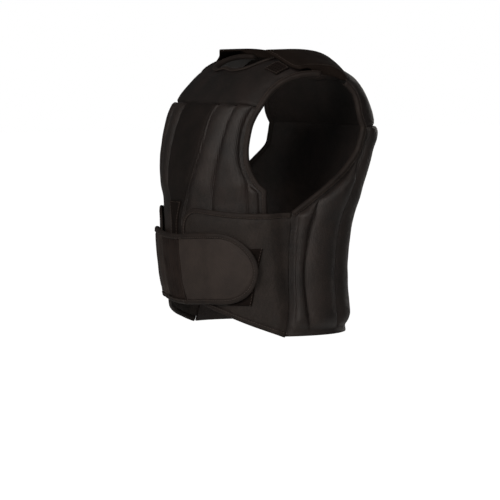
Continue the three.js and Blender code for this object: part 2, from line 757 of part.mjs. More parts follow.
// Rows and columns of a padded piece with one round end. The rim is thinner on both faces.
function tongue(height, radius, depth, place, base, thickness) {
  const rows = tongueShares.map((share, i) => {
    const distance = Math.min(share, 1 - share) * height;
    const row = place(share, endPull(distance, radius, depth), marginPull(distance, radius, depth));
    const isRimRow = i <= 2 || i >= tongueShares.length - 3;
    return row.map((spot) => ({ ...spot, isRim: isRimRow || spot.isRim }));
  });
  const grid = (isOuter) =>
    rows.map((row) =>
      row.map(({ reach, z, isRim }) => {
        const inset = isRim ? rimInset : 0;
        const lift = isOuter ? thickness - inset : inset;
        return onTorso(reach, z, base(reach) + lift).point;
      }),
    );
  // A pair of outer and inner corners on the rim.
  const pair = (reach, z) => [
    onTorso(reach, z, base(reach) + thickness - rimInset).point,
    onTorso(reach, z, base(reach) + rimInset).point,
  ];
  // Places for the tape along an outline, each with a second pair square to the outline.
  const outline = (spots) =>
    spots.map(({ reach, z }, i) => {
      const before = spots[Math.max(0, i - 1)];
      const after = spots[Math.min(spots.length - 1, i + 1)];
      const way = new THREE.Vector2(before.z - after.z, after.reach - before.reach);
      way.normalize().multiplyScalar(tapeWidth);
      return { rim: pair(reach, z), margin: pair(reach + way.x, z + way.y) };
    });
  return { outer: grid(true), inner: grid(false), rows, outline };
}

// Side wings: sewn to the back panel, wrapped forward over the front panel.
const ribLift = mix(edgeThickness, ribThickness, pressedShare) + layerGap;
const wingLift = [
  { reach: 0, lift: 1 },
  { reach: 0.85, lift: 1 },
  { reach: 0.9, lift: 0.88 },
  { reach: 0.96, lift: 0.77 },
  { reach: 1.02, lift: 0.73 },
  { reach: 1.07, lift: 0.45 },
  { reach: 1.14, lift: 0.03 },
  { reach: 1.3, lift: 0 },
];
const wingLiftCurve = curve(wingLift, 'reach', 'lift');
const wingBase = (reach) => ribLift * wingLiftCurve(reach / frontSideReach);
// Depths of the wing's slanting hem and of its top edge, which rises a little towards the front.
const wingHem = (reach) => backHemDrop - wingHemSlope * Math.max(0, wingSeamReach - reach);
const wingTop = (reach) =>
  wingTopDrop - wingTopRise * smooth((wingSeamReach - reach) / (wingSeamReach - columnHalfWidth) - 0.3);
// Columns of the wings and their patches, as shares of the front panel's reach.
const wingColumns = [0.5, 0.65, 0.74, 0.82, 0.88, 0.94, 1, 1.06].map((s) => s * frontSideReach);
const nearestColumn = 7;
function makeWing(frontReach) {
  const place = (share, pull, inner) => {
    const spot = (reach, isRim) => ({ reach, z: -mix(wingHem(reach), wingTop(reach), share), isRim });
    const first = frontReach + pull;
    const margin = frontReach + Math.max(inner, pull + rimWidth * 0.7);
    const seam = wingSeam(-mix(backHemDrop, wingTopDrop, share)) - 3 * gap;
    const between = wingColumns.filter((reach) => reach > margin + nearestColumn);
    const spare = wingColumns.length - between.length;
    const filled = Array.from({ length: spare }, (_, i) => mix(margin, between[0], (i + 1) / (spare + 1)));
    return [
      spot(first, true),
      spot(mix(first, margin, 0.5), true),
      spot(margin, true),
      ...[...filled, ...between].map((reach) => spot(reach, false)),
      spot(seam, true),
    ];
  };
  const height = wingHem(frontReach) - wingTop(frontReach);
  return tongue(height, wingCornerRadius, wingCornerRadius, place, wingBase, wingThickness);
}
const sides = [
  { side: 'left', flip: 1, wingFrontReach: leftWingFrontReach, elasticReach: leftElasticReach },
  { side: 'right', flip: -1, wingFrontReach: rightWingFrontReach, elasticReach: rightElasticReach },
];
const wings = sides.map(({ side, flip, wingFrontReach }) => {
  const wing = makeWing(wingFrontReach);
  const geometry = shell(wing.outer, wing.inner).geometry();
  addPiece(`side_wing_${side}`, geometry, clothColour, 0.8).scale.x = flip;
  return wing;
});

// Loop patches on the wings, under the ends of the belt.
const wingPatchColumns = wingColumns.filter(
  (reach) => reach > wingPatchStart && reach < wingPatchReach - wingPatchLean - nearestColumn,
);
const lastWingPatchColumn = wingPatchColumns[wingPatchColumns.length - 1];
const wingPatchRows = steps(4).map((share) => {
  const z = -mix(wingPatchBottomDrop, wingPatchTopDrop, share);
  const end = wingPatchReach - wingPatchLean * (1 - share);
  const beyond = [1, 2, 3].map((part) => mix(lastWingPatchColumn, end, part / 3));
  return [wingPatchStart, ...wingPatchColumns, ...beyond].map((reach) => [reach, z]);
});
const wingPatchLift = (reach) => wingBase(reach) + wingThickness + wingPatchGap;
const wingPatchGrid = (thickness) =>
  wingPatchRows.map((row) =>
    row.map(([reach, z]) => onTorso(reach, z, wingPatchLift(reach) + thickness).point),
  );
const wingPatch = shell(wingPatchGrid(patchThickness), wingPatchGrid(0)).geometry();
addPair('wing_loop_patch', wingPatch, patchColour, 0.95);

// Belt: ribbed elastic in the middle and a padded D-shaped tab to each side.
const beltOverColumn = columnLift(-beltTopDrop) + gap + patchThickness + gap;
const beltOverWing = ribLift + wingThickness + wingPatchGap + patchThickness + layerGap;
// The belt steps up on to the wing at its front edge, and on to the patch where that starts.
function beltBaseOver(wingFrontReach) {
  const lift = curve(
    [
      { reach: 0, share: 0 },
      { reach: wingFrontReach - wingStep.start, share: 0 },
      { reach: wingFrontReach - wingStep.end, share: 0.5 },
      { reach: wingPatchStart - patchStep.start, share: 0.5 },
      { reach: wingPatchStart - patchStep.end, share: 1 },
      { reach: wingPatchReach - tipEase, share: 1 },
      { reach: wingPatchReach + tipEase, share: 0.86 },
    ],
    'reach',
    'share',
  );
  return (reach) => mix(beltOverColumn, beltOverWing, lift(reach));
}
const [leftBeltBase, rightBeltBase] = sides.map((side) => beltBaseOver(side.wingFrontReach));
const elasticBase = (reach) => (reach < 0 ? rightBeltBase(-reach) : leftBeltBase(reach));
const beltBottomDrop = beltTopDrop + beltHeight;
// Heights on the belt, which climbs a little from the front to the sides.
const beltZ = (share, reach) =>
  -mix(beltBottomDrop, beltTopDrop, share) + beltSideRise * smooth(Math.abs(reach) / middleGroove);
const elasticRows = [0, 0.07, 0.5, 0.93, 1];
const elasticGrid = (thickness) =>
  elasticRows.map((share) =>
    steps(elasticPleats * 2).map((part, j) => {
      const reach = mix(-rightElasticReach, leftElasticReach, part);
      const isCrest = j % 2 === 1 && Math.min(share, 1 - share) > 0.1;
      const pleat = thickness > 0 && isCrest ? elasticPleatDepth : 0;
      const lift = elasticBase(reach) + rimInset + thickness + pleat;
      return onTorso(reach, beltZ(share, reach), lift).point;
    }),
  );
const elastic = { outer: elasticGrid(elasticThickness), inner: elasticGrid(0) };
addPiece('belt_elastic', shell(elastic.outer, elastic.inner).geometry(), elasticColour, 0.9);

const tabColumns = [0, 0.14, 0.28, 0.37, 0.5, 0.65, 0.83, 1];
const tabPlaceFrom = (start) => (share, pull, inner) => {
  const margin = tabTipReach - Math.max(inner, pull + rimWidth * 0.7);
  const spot = (reach, isRim) => ({ reach, z: beltZ(share, reach), isRim });
  return [
    ...tabColumns.map((part) => spot(mix(start, margin, part), part === 1)),
    spot(mix(margin, tabTipReach - pull, 0.5), true),
    spot(tabTipReach - pull, true),
  ];
};
const tabs = sides.map(({ side, flip, elasticReach }, i) => {
  const base = [leftBeltBase, rightBeltBase][i];
  const place = tabPlaceFrom(elasticReach + gap);
  const tab = tongue(beltHeight, beltHeight / 2, tabEndDepth, place, base, tabThickness);
  addPiece(`belt_tab_${side}`, shell(tab.outer, tab.inner).geometry(), strapColour, 0.7).scale.x = flip;
  return tab;
});

// Binding tapes folded round the free edges.
const last = (list) => list[list.length - 1];
const place = (rimOuter, rimInner, marginOuter, marginInner) => ({
  rim: [rimOuter, rimInner],
  margin: [marginOuter, marginInner],
});
const startsOf = ({ outer, inner }, step = 1) =>
  outer.map((row, i) => place(row[0], inner[i][0], row[step], inner[i][step]));
const endsOf = ({ outer, inner }, step = 1) =>
  outer.map((row, i) => {
    const lining = inner[i];
    return place(last(row), last(lining), row[row.length - 1 - step], lining[lining.length - 1 - step]);
  });
const rowOf = ({ outer, inner }, i, step) =>
  outer[i].map((p, j) => place(p, inner[i][j], outer[i + step][j], inner[i + step][j]));
const flipped = (p) => new THREE.Vector3(-p.x, p.y, p.z);
const mirrored = (places) =>
  places.map(({ rim, margin }) => place(...rim.map(flipped), ...margin.map(flipped))).reverse();

const neckMiddle = ({ outer, inner }, i, step) =>
  place(outer[i][0], inner[i][0], outer[i + step][0], inner[i + step][0]);
const frontNeckHalf = startsOf(frontYoke).slice(centreRowCount + 1).reverse();
const frontNeckEdge = [
  ...frontNeckHalf,
  neckMiddle(frontYoke, centreRowCount, -1),
  ...mirrored(frontNeckHalf),
];
addPiece('neck_binding_front', foldedTape(frontNeckEdge), tapeColour, 0.85);
const backNeckHalf = startsOf(backYoke).slice(0, backNeckRowCount);
const backNeckEdge = [
  ...mirrored(backNeckHalf).reverse(),
  neckMiddle(backYoke, backNeckRowCount, 1),
  ...backNeckHalf.reverse(),
];
addPiece('neck_binding_back', foldedTape(backNeckEdge), tapeColour, 0.85);
const frontArmEdge = [...endsOf(frontQuilt).slice(0, -1), ...endsOf(frontYoke)];
addPair('armhole_binding_front', foldedTape(frontArmEdge), tapeColour, 0.85);
const underarmEdge = startsOf(backQuilt).filter((_, i) => backRows[i] > -wingTopDrop);
const backArmEdge = [...endsOf(backYoke), ...underarmEdge.reverse().slice(1)];
addPair('armhole_binding_back', foldedTape(backArmEdge), tapeColour, 0.85);

const shortened = (row) => [
  ...row.slice(0, -1),
  { reach: last(row).reach - tapeThickness, z: last(row).z },
];
wings.forEach((wing, i) => {
  const front = wing.rows.map((row) => row[0]).slice(1, -1);
  const outline = [
    ...shortened(last(wing.rows)).reverse(),
    ...front.reverse(),
    ...shortened(wing.rows[0]),
  ];
  const { side, flip } = sides[i];
  addPiece(`wing_binding_${side}`, foldedTape(wing.outline(outline)), tapeColour, 0.85).scale.x = flip;
});

const [leftTabEdge, rightTabEdge] = tabs.map((tab) => {
  const end = tab.rows.map((row) => last(row)).slice(1, -1);
  return tab.outline([...tab.rows[0], ...end, ...last(tab.rows).slice().reverse()]).slice(1, -1);
});
const elasticBottom = rowOf(elastic, 0, 1);
const elasticTop = rowOf(elastic, elastic.outer.length - 1, -1).reverse();
const elasticMiddle = elasticPleats;
const beltEdge = [
  ...elasticBottom.slice(elasticMiddle),
  ...leftTabEdge,
  ...elasticTop,
  ...mirrored(rightTabEdge),
  ...elasticBottom.slice(0, elasticMiddle),
];
addPiece('belt_binding', foldedTape(beltEdge, true), tapeColour, 0.85);

export default vest;
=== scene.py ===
import math

import bmesh
import bpy
import numpy as np
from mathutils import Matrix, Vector


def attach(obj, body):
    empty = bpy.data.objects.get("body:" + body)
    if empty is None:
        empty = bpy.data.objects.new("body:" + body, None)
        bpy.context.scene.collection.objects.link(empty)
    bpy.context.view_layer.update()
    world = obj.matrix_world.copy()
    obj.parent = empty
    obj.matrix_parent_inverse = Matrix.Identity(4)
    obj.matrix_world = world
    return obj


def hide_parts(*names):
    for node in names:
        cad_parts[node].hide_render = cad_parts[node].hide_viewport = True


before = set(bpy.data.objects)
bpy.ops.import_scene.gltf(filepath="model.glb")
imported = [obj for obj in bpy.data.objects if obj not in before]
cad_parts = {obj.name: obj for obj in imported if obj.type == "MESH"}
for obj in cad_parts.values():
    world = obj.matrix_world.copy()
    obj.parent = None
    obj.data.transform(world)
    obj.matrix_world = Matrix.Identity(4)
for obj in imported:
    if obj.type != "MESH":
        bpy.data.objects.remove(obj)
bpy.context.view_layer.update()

# The body form that the lining lies on. Every panel is cut to it, so it is worked out first.
# Lengths are millimetres: reach is measured round the body from the centre front, or over the
# shoulder by a turn that is 0 at the front seam, 1 on top and 2 at the back seam.
body_half_width, body_front_depth, body_back_depth, body_length = 150, 128, 139, 400
body_sections = np.array([
    # drop, width, front, back, front squareness, back squareness
    (0.115, 1.0, 0.64, 0.85, 3.0, 4.0),
    (0.14, 1.0, 0.68, 0.878, 3.0, 4.0),
    (0.215, 1.0, 0.79, 1.0, 2.9, 4.0),
    (0.298, 0.993, 0.875, 0.957, 2.7, 3.6),
    (0.44, 0.993, 0.977, 0.856, 2.15, 3.0),
    (0.573, 0.953, 1.0, 0.777, 2.05, 2.6),
    (0.748, 0.94, 0.95, 0.748, 2.05, 2.4),
    (0.885, 0.947, 0.868, 0.777, 2.05, 2.4),
    (1.023, 0.987, 0.86, 0.82, 2.05, 2.4),
])


def curve(xs, ys):
    """A smooth line through the points that never overshoots them."""
    xs, ys = np.array(xs, float), np.array(ys, float)
    slopes = np.diff(ys) / np.diff(xs)
    product = slopes[:-1] * slopes[1:]
    total = np.where(product > 0, slopes[:-1] + slopes[1:], 1)
    tangents = np.concatenate([slopes[:1], np.where(product > 0, 2 * product / total, 0), slopes[-1:]])

    def at(x):
        x = np.asarray(x, float)
        i = np.clip(np.searchsorted(xs, x) - 1, 0, len(xs) - 2)
        width = xs[i + 1] - xs[i]
        s = (x - xs[i]) / width
        start = (1 + 2 * s) * (1 - s) ** 2 * ys[i] + s * (1 - s) ** 2 * width * tangents[i]
        return start + s * s * (3 - 2 * s) * ys[i + 1] + s * s * (s - 1) * width * tangents[i + 1]

    return at


def mix(a, b, share):
    return a + (b - a) * share


def clamp01(x):
    return np.clip(x, 0, 1)


def smooth(x):
    x = clamp01(x)
    return x * x * (3 - 2 * x)


def unit(vectors):
    return vectors / np.linalg.norm(vectors, axis=-1, keepdims=True)


section_width, section_front, section_back, front_square, back_square = (
    curve(body_sections[:, 0], body_sections[:, k]) for k in range(1, 6)
)


def body_point(angle, z):
    drop = -np.asarray(z, float) / body_length
    angle = np.asarray(angle, float)
    is_front = np.cos(angle) > 0
    width = body_half_width * section_width(drop)
    depth = np.where(is_front, body_front_depth * section_front(drop), body_back_depth * section_back(drop))
    square = np.where(is_front, front_square(drop), back_square(drop))
    across = np.abs(np.sin(angle) / width) ** square
    along = np.abs(np.cos(angle) / depth) ** square
    radius = (across + along) ** (-1 / square)
    return np.stack(np.broadcast_arrays(radius * np.sin(angle), -radius * np.cos(angle), z), -1)


tape_heights = np.arange(-425, -40, 1.0)
tape_angles = np.linspace(0, math.pi, 721)
around = body_point(tape_angles[None, :], tape_heights[:, None])
lengths = np.concatenate(
    [np.zeros((len(tape_heights), 1)), np.cumsum(np.linalg.norm(np.diff(around, axis=1), axis=2), 1)], 1)
girths = lengths[:, -1]
tape_shares = np.linspace(0, 1, 601)
angle_table = np.array([np.interp(tape_shares * g, row, tape_angles) for g, row in zip(girths, lengths)])


def half_girth(z):
    return np.interp(z, tape_heights, girths)


def angle_at(reach, z):
    reach, z = np.broadcast_arrays(np.asarray(reach, float), np.asarray(z, float))
    girth = half_girth(z)
    far = np.abs(reach) > girth
    near = np.where(far, 2 * girth - np.abs(reach), np.abs(reach))
    row = np.clip(z - tape_heights[0], 0, len(tape_heights) - 1.001)
    column = np.clip(near / girth, 0, 0.9999) * (len(tape_shares) - 1)
    i, j = row.astype(int), column.astype(int)
    r, c = row - i, column - j
    low = angle_table[i, j] * (1 - c) + angle_table[i, j + 1] * c
    high = angle_table[i + 1, j] * (1 - c) + angle_table[i + 1, j + 1] * c
    angle = low * (1 - r) + high * r
    return np.sign(reach + 1e-12) * np.where(far, 2 * math.pi - angle, angle)


def lifted(surface, a, b, step_a, step_b, lift):
    """Points of a surface moved out along its normal by lift."""
    along_a = surface(a + step_a, b) - surface(a - step_a, b)
    along_b = surface(a, b + step_b) - surface(a, b - step_b)
    normal = unit(np.cross(along_a, along_b))
    return surface(a, b) + normal * np.asarray(lift)[..., None]


angle_step, height_step = 0.002, 0.05


def on_body(reach, z, lift):
    reach, z, lift = np.broadcast_arrays(*(np.asarray(v, float) for v in (reach, z, lift)))
    return lifted(body_point, angle_at(reach, z), z, angle_step, height_step, lift)


front_seam_drop, back_seam_drop = 56, 86
ridge_setback, shoulder_middle, shoulder_slope = 19, 108, 0.38
side_step, turn_step = 0.2, 0.001


def shoulder_point(x, turn):
    x, turn = np.broadcast_arrays(np.asarray(x, float), np.asarray(turn, float))
    top = shoulder_slope * (shoulder_middle - np.abs(x))
    is_front = turn <= 1
    seam_z = np.where(is_front, -front_seam_drop, -back_seam_drop)
    drop = -seam_z / body_length
    width = body_half_width * section_width(drop)
    depth = np.where(is_front, body_front_depth * section_front(drop), body_back_depth * section_back(drop))
    square = np.where(is_front, front_square(drop), back_square(drop))
    seam_y = depth * (1 - np.minimum(np.abs(x) / width, 0.999) ** square) ** (1 / square)
    seam_y = np.where(is_front, -seam_y, seam_y)
    rise, run = top - seam_z, ridge_setback - seam_y
    s = np.where(is_front, turn, 2 - turn)
    lean, climb, roll = (np.where(is_front, f, b) for f, b in ((0.3, -0.1), (0.45, 0.54), (0.5, 0.74)))

    def bezier(a, b, c, d):
        return (1 - s) ** 3 * a + 3 * (1 - s) ** 2 * s * b + 3 * (1 - s) * s * s * c + s**3 * d

    y = bezier(seam_y, seam_y + lean * rise, ridge_setback - roll * run, ridge_setback)
    return np.stack([x, y, bezier(seam_z, seam_z + climb * rise, top, top)], -1)


def over_shoulder(x, turn, lift):
    x, turn, lift = np.broadcast_arrays(*(np.asarray(v, float) for v in (x, turn, lift)))
    return lifted(shoulder_point, x, turn, side_step, turn_step, lift)


# Front panel: foam ribs between a stretch knit face and a lining, quilted through along its
# channels, with a flat raised centre column. Its hem is turned and stitched.
edge_thickness, rib_thickness, narrow_rib_thickness, column_thickness = 4, 15, 11, 14
hem_margin, seam_roll, seam_fullness, narrowest_rib = 10, 16, 0.75, 2
armhole_drop, front_hem_drop, wing_top_drop = 176, 347, 210
front_side_reach, column_half_width, column_flank, middle_groove, outer_groove = 157, 48, 5, 91, 131
pressed_share, pressed_depth = 0.55, 30
row_step = 4.5
# Sewn dents have a depth and a width, and waves in the cloth a height and a length.
seam_dent, hem_dent = (2.4, 2.6), (0.9, 1.8)
rib_waves, channel_waves = (0.45, 34), (0.2, 13)
rib_shares = np.array([0, 0.03, 0.08, 0.15, 0.25, 0.37, 0.5, 0.63, 0.75, 0.85, 0.92, 0.97, 1])
rib_profile = (1 - np.abs(2 * rib_shares - 1) ** 2.3) ** 0.62

front_edge = curve([0, 0.117, 0.242, 0.45, 0.65, 0.783, 0.925, 1],
                   [0.854, 0.828, 0.815, 0.815, 0.834, 0.873, 0.936, 1])
column_line = curve([0, 0.21, 0.4, 0.47, 0.6, 1], [1, 0.95, 0.67, 0.5, 0.3, 0.26])
middle_line = curve([0, 0.21, 0.4, 0.47, 0.6, 1], [1, 0.95, 0.85, 0.83, 0.81, 0.8])


def front_drop(z):
    """How far down the front panel a height is, from 0 at its seam to 1 at its hem."""
    return clamp01((-z - front_seam_drop) / (front_hem_drop - front_seam_drop))


def front_edge_reach(z):
    return front_side_reach * front_edge(clamp01((-z - front_seam_drop) / (armhole_drop - front_seam_drop)))


def pressed(z):
    """How full the ribs are: the wings and the belt press them, from a little above the wings down."""
    return mix(1, pressed_share, smooth((-z - wing_top_drop) / pressed_depth + 1.4))


def slanted_margin(edge_reach, z):
    """The hem margin measured level, which is wider where the panel's edge slants."""
    slant = (edge_reach(z + 4) - edge_reach(z - 4)) / 8
    return hem_margin * np.minimum(1.8, np.hypot(1, slant))


def roll_share(distance):
    """How far the padding has risen at a distance from a seam."""
    return np.sqrt(clamp01(np.asarray(distance, float) / seam_roll))


def padding_at(z, top_drop, hem_drop):
    seam = mix(seam_fullness, 1, roll_share(-z - top_drop))
    return np.minimum(seam, roll_share(hem_drop - hem_margin + z))


def dent(distance, depth, width):
    """How deep a soft dent is at a distance from its line."""
    return depth * np.exp(-(distance / width) ** 2)


def column_half(z):
    return column_half_width * column_line(front_drop(z))


def front_grooves(z):
    """Reaches of the panel's three sewn channels, its hem margin and its edge."""
    edge = front_edge_reach(z)
    margin = edge - slanted_margin(front_edge_reach, z)
    middle = middle_groove * middle_line(front_drop(z))
    return column_half(z), middle, np.minimum(outer_groove, margin - narrowest_rib), margin, edge


def column_height(z):
    """Thickness of the centre column's flat."""
    return mix(edge_thickness, column_thickness, mix(pressed(z), 1, 0.4))


def half_row(reach, height, ribs, margin, edge):
    """A row from the middle out to the edge: its first places, then its ribs and its flat hem."""
    for start, end, thickness in ribs:
        reach = [*reach, *mix(start, end, rib_shares)[1:]]
        height = [*height, *mix(edge_thickness, thickness, rib_profile)[1:]]
    reach = [*reach, mix(margin, edge, 0.5), edge - 0.8, edge]
    return np.array(reach), np.array([*height, *[edge_thickness] * 3])


def front_half_row(z):
    column, middle, outer, margin, edge = front_grooves(z)
    outer_share = smooth((margin - outer) / (front_side_reach - outer_groove - hem_margin))
    full = mix(edge_thickness, rib_thickness, pressed(z))
    narrow = mix(edge_thickness, narrow_rib_thickness, outer_share * pressed(z))
    flat = column_height(z)
    flank = column - column_flank
    reach = [*np.linspace(0, flank - 1, 6), flank, *(column - column_flank * np.array([0.6, 0.25, 0]))]
    height = [*[flat] * 6, flat - 0.4, *mix(edge_thickness, flat, np.array([0.8, 0.4, 0]))]
    ribs = (column, middle, full), (middle, outer, full), (outer, margin, narrow)
    return half_row(reach, height, ribs, margin, edge)


def both_halves(reach, height):
    return np.concatenate([-reach[:0:-1], reach]), np.concatenate([height[:0:-1], height])


def ripple(a, b, seed, length):
    """Gentle uneven waves over the cloth, from -1 to 1, about length millimetres long."""
    total = 0
    for k in range(5):
        turn = 2.4 * k + seed
        pace = 2 * math.pi / (length * (0.7 + 0.17 * k))
        total = total + np.sin((a * math.cos(turn) + b * math.sin(turn)) * pace + 3.1 * seed + 1.7 * k)
    return total / 3.2


def quilt_rows(top_drop, hem_drop):
    """Heights of a quilted panel's rows, hem first, closer together at the hem and the seam."""
    count = int((hem_drop - top_drop) / row_step)
    even = np.linspace(top_drop + 4, hem_drop - hem_margin - 1, count)
    hem = [hem_drop, hem_drop - 0.8, hem_drop - 4, hem_drop - hem_margin + 1.5]
    return -np.array([*hem, *even[::-1], top_drop + 1.6, top_drop + 0.6, top_drop - 0.3])


def new_piece(name, points, faces, flat):
    """An object from points, faces and each point's place on the flat cloth, all in millimetres."""
    mesh = bpy.data.meshes.new(name)
    mesh.from_pydata((points * 0.001).tolist(), [], faces)
    corners = np.zeros(len(mesh.loops), np.int32)
    mesh.loops.foreach_get("vertex_index", corners)
    uv = mesh.uv_layers.new(name="cloth")
    uv.data.foreach_set("uv", (flat * 0.001)[corners].astype(np.float32).ravel())
    piece = bpy.data.objects.new(name, mesh)
    bpy.context.scene.collection.objects.link(piece)
    return piece


def grid_mesh(name, outer, inner, chart):
    """A closed padded shell between an outer and an inner grid of points. Rows run up, columns to the
    wearer's left."""
    rows, columns = outer.shape[:2]
    count = rows * columns
    index = np.arange(count).reshape(rows, columns)
    a, b, c, d = index[:-1, :-1], index[:-1, 1:], index[1:, 1:], index[1:, :-1]
    faces = [np.stack([a, b, c, d], -1).reshape(-1, 4), np.stack([d, c, b, a], -1).reshape(-1, 4) + count]
    walls = [(b[0], a[0]), (d[-1], c[-1]), (c[:, -1], b[:, -1]), (a[:, 0], d[:, 0])]
    faces += [np.stack([p, q, q + count, p + count], -1) for p, q in walls]
    points = np.concatenate([outer.reshape(-1, 3), inner.reshape(-1, 3)])
    flat = np.concatenate([chart.reshape(-1, 2)] * 2)
    return new_piece(name, points, np.concatenate(faces).tolist(), flat)


def finish_piece(piece, material, node, levels=1):
    """Rounds a piece off, gives it its material and puts it in the place of its solid."""
    if levels:
        modifier = piece.modifiers.new("round", "SUBSURF")
        modifier.levels = modifier.render_levels = levels
        bpy.context.view_layer.objects.active = piece
        with bpy.context.temp_override(object=piece, active_object=piece, selected_objects=[piece]):
            bpy.ops.object.modifier_apply(modifier="round")
    piece.data.polygons.foreach_set("use_smooth", [True] * len(piece.data.polygons))
    piece.data.materials.clear()
    piece.data.materials.append(material)
    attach(piece, "root")
    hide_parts(node)


def linear(hex_colour):
    """An sRGB hex colour as linear RGBA."""
    channels = [int(hex_colour[i:i + 2], 16) / 255 for i in (0, 2, 4)]
    return [c / 12.92 if c <= 0.04045 else ((c + 0.055) / 1.055) ** 2.4 for c in channels] + [1]


def add_node(tree, kind, settings=None, **links):
    """Adds a node. A link is a value or another node's output; names use _ for spaces."""
    node = tree.nodes.new(kind)
    for name, value in (settings or {}).items():
        setattr(node, name, value)
    for name, value in links.items():
        key = int(name[1:]) if name[0] == "i" and name[1:].isdigit() else name.replace("_", " ")
        socket = node.inputs[key]
        if isinstance(value, bpy.types.NodeSocket):
            tree.links.new(value, socket)
        else:
            socket.default_value = value
    return node


def bands(period):
    """The wave texture's scale for bands this many millimetres apart."""
    return math.pi / 10 / (period * 0.001)


def specks(size):
    """The noise texture's scale for specks this many millimetres across."""
    return 1000 / size


def new_cloth(name, roughness, specular):
    """A cloth material with its shader, and the cloth's own flat coordinates in metres."""
    material = bpy.data.materials.new(name)
    material.use_nodes = True
    tree = material.node_tree
    shader = tree.nodes["Principled BSDF"]
    shader.inputs["Roughness"].default_value = roughness
    shader.inputs["Specular IOR Level"].default_value = specular
    flat = add_node(tree, "ShaderNodeUVMap", {"uv_map": "cloth"}).outputs["UV"]
    return material, tree, shader, flat


def colour_ramp(tree, value, low, high):
    ramp = add_node(tree, "ShaderNodeValToRGB", Fac=value)
    ramp.color_ramp.elements[0].color = linear(low)
    ramp.color_ramp.elements[1].color = linear(high)
    ramp.color_ramp.elements[0].position = 0.3
    ramp.color_ramp.elements[1].position = 0.7
    return ramp.outputs["Color"]


def knit_cloth(name, low, high, roughness, specular):
    """Brushed polyester jersey: matt, near black, with a fine even knit. Its loops are 0.5 mm wide on the
    real cloth and are drawn 1.6 mm wide, so that they show."""
    material, tree, shader, flat = new_cloth(name, roughness, specular)
    place = add_node(tree, "ShaderNodeTexCoord").outputs["Object"]
    cloud = add_node(tree, "ShaderNodeTexNoise", Vector=place, Scale=specks(45.5), Detail=4, Roughness=0.6)
    fuzz = add_node(tree, "ShaderNodeTexNoise", Vector=place, Scale=specks(2.08), Detail=3, Roughness=0.7)
    tint = add_node(tree, "ShaderNodeMath", {"operation": "MULTIPLY_ADD"}, i0=fuzz.outputs["Fac"], i1=0.7,
                    i2=cloud.outputs["Fac"])
    tint = add_node(tree, "ShaderNodeMath", {"operation": "SUBTRACT"}, i0=tint.outputs[0], i1=0.35)
    tree.links.new(colour_ramp(tree, tint.outputs[0], low, high), shader.inputs["Base Color"])
    loops = add_node(tree, "ShaderNodeTexWave", {"wave_type": "BANDS", "bands_direction": "X"},
                     Vector=flat, Scale=bands(1.6), Distortion=1.2, Detail=1, Detail_Scale=3)
    height = add_node(tree, "ShaderNodeMath", {"operation": "MULTIPLY_ADD"}, i0=loops.outputs["Fac"],
                      i1=0.35, i2=fuzz.outputs["Fac"])
    fine = add_node(tree, "ShaderNodeBump", Strength=0.6, Distance=0.0012, Height=height.outputs[0])
    soft = add_node(tree, "ShaderNodeBump", Strength=0.5, Distance=0.0012, Height=cloud.outputs["Fac"],
                    Normal=fine.outputs["Normal"])
    tree.links.new(soft.outputs["Normal"], shader.inputs["Normal"])
    return material


quilt_knit = knit_cloth("brushed_jersey", "080504", "1a1310", 0.54, 0.24)
front_z = quilt_rows(front_seam_drop, front_hem_drop)


def quilt_grids(rows, half_at, top_drop, hem_drop, locate, seed):
    """A quilted panel's outer and inner points, row by row, and their places on the flat cloth."""
    outer, inner, chart = [], [], []
    for z in rows:
        reach, height = both_halves(*half_at(z))
        lift = mix(edge_thickness, height, padding_at(z, top_drop, hem_drop))
        fullness = clamp01((lift - edge_thickness) / (rib_thickness - edge_thickness))
        lift = lift + rib_waves[0] * fullness * ripple(reach, z, seed, rib_waves[1])
        lift = lift + channel_waves[0] * (1 - fullness) * ripple(z, reach, seed, channel_waves[1])
        lift = lift - dent(z + top_drop, *seam_dent) - dent(z + hem_drop - hem_margin, *hem_dent)
        outer.append(locate(reach, z, lift))
        inner.append(locate(reach, z, 0))
        chart.append(np.stack([reach, np.full_like(reach, z)], -1))
    return np.array(outer), np.array(inner), np.array(chart)


front_quilt = grid_mesh("front_quilt_cloth", *quilt_grids(
    front_z, front_half_row, front_seam_drop, front_hem_drop, on_body, 1.3))
finish_piece(front_quilt, quilt_knit, "front_quilt")
# The centre column is faced with a flatter knit than the ribs beside it, coloured darker as painted shade,
# since the column faces away from the lights.
front_quilt.data.materials.append(knit_cloth("column_shaded_jersey", "060403", "120d0b", 0.75, 0.1))
places = np.zeros(len(front_quilt.data.loops) * 2, np.float32)
front_quilt.data.uv_layers["cloth"].data.foreach_get("uv", places)
middle = places.reshape(-1, 4, 2).mean(1) * 1000
in_shaded_column = np.abs(middle[:, 0]) < column_half(middle[:, 1]) - column_flank * 0.5
front_quilt.data.polygons.foreach_set("material_index", in_shaded_column.astype(np.int32))

# Back panel: the same quilting, a centre rib and four more to each side. It widens below the arms
# to meet the wings, and its hem is turned and stitched too.
back_hem_drop, back_centre_groove, back_rib_width, back_rib_count = 390, 34, 56, 4
wing_seam_reach, wing_seam_lean, gap = 181, 22, 0.3
back_edge = curve([0, 0.22, 0.45, 0.65, 0.85, 1], [0.57, 0.57, 0.64, 0.75, 0.89, 1])


def wing_seam(z):
    share = (-z - wing_top_drop) / (back_hem_drop - wing_top_drop)
    return wing_seam_reach + wing_seam_lean * (0.5 - clamp01(share))


def back_edge_reach(z):
    widest = half_girth(z) - wing_seam(z) - gap / 2
    return widest * back_edge(clamp01((-z - back_seam_drop) / (wing_top_drop - back_seam_drop)))


def back_grooves(z):
    edge = back_edge_reach(z)
    margin = edge - slanted_margin(back_edge_reach, z)
    grooves = [back_centre_groove]
    for number in range(1, back_rib_count + 1):
        room = margin - (back_rib_count - number) * narrowest_rib
        grooves.append(margin if number == back_rib_count else min(grooves[-1] + back_rib_width, room))
    return grooves, edge


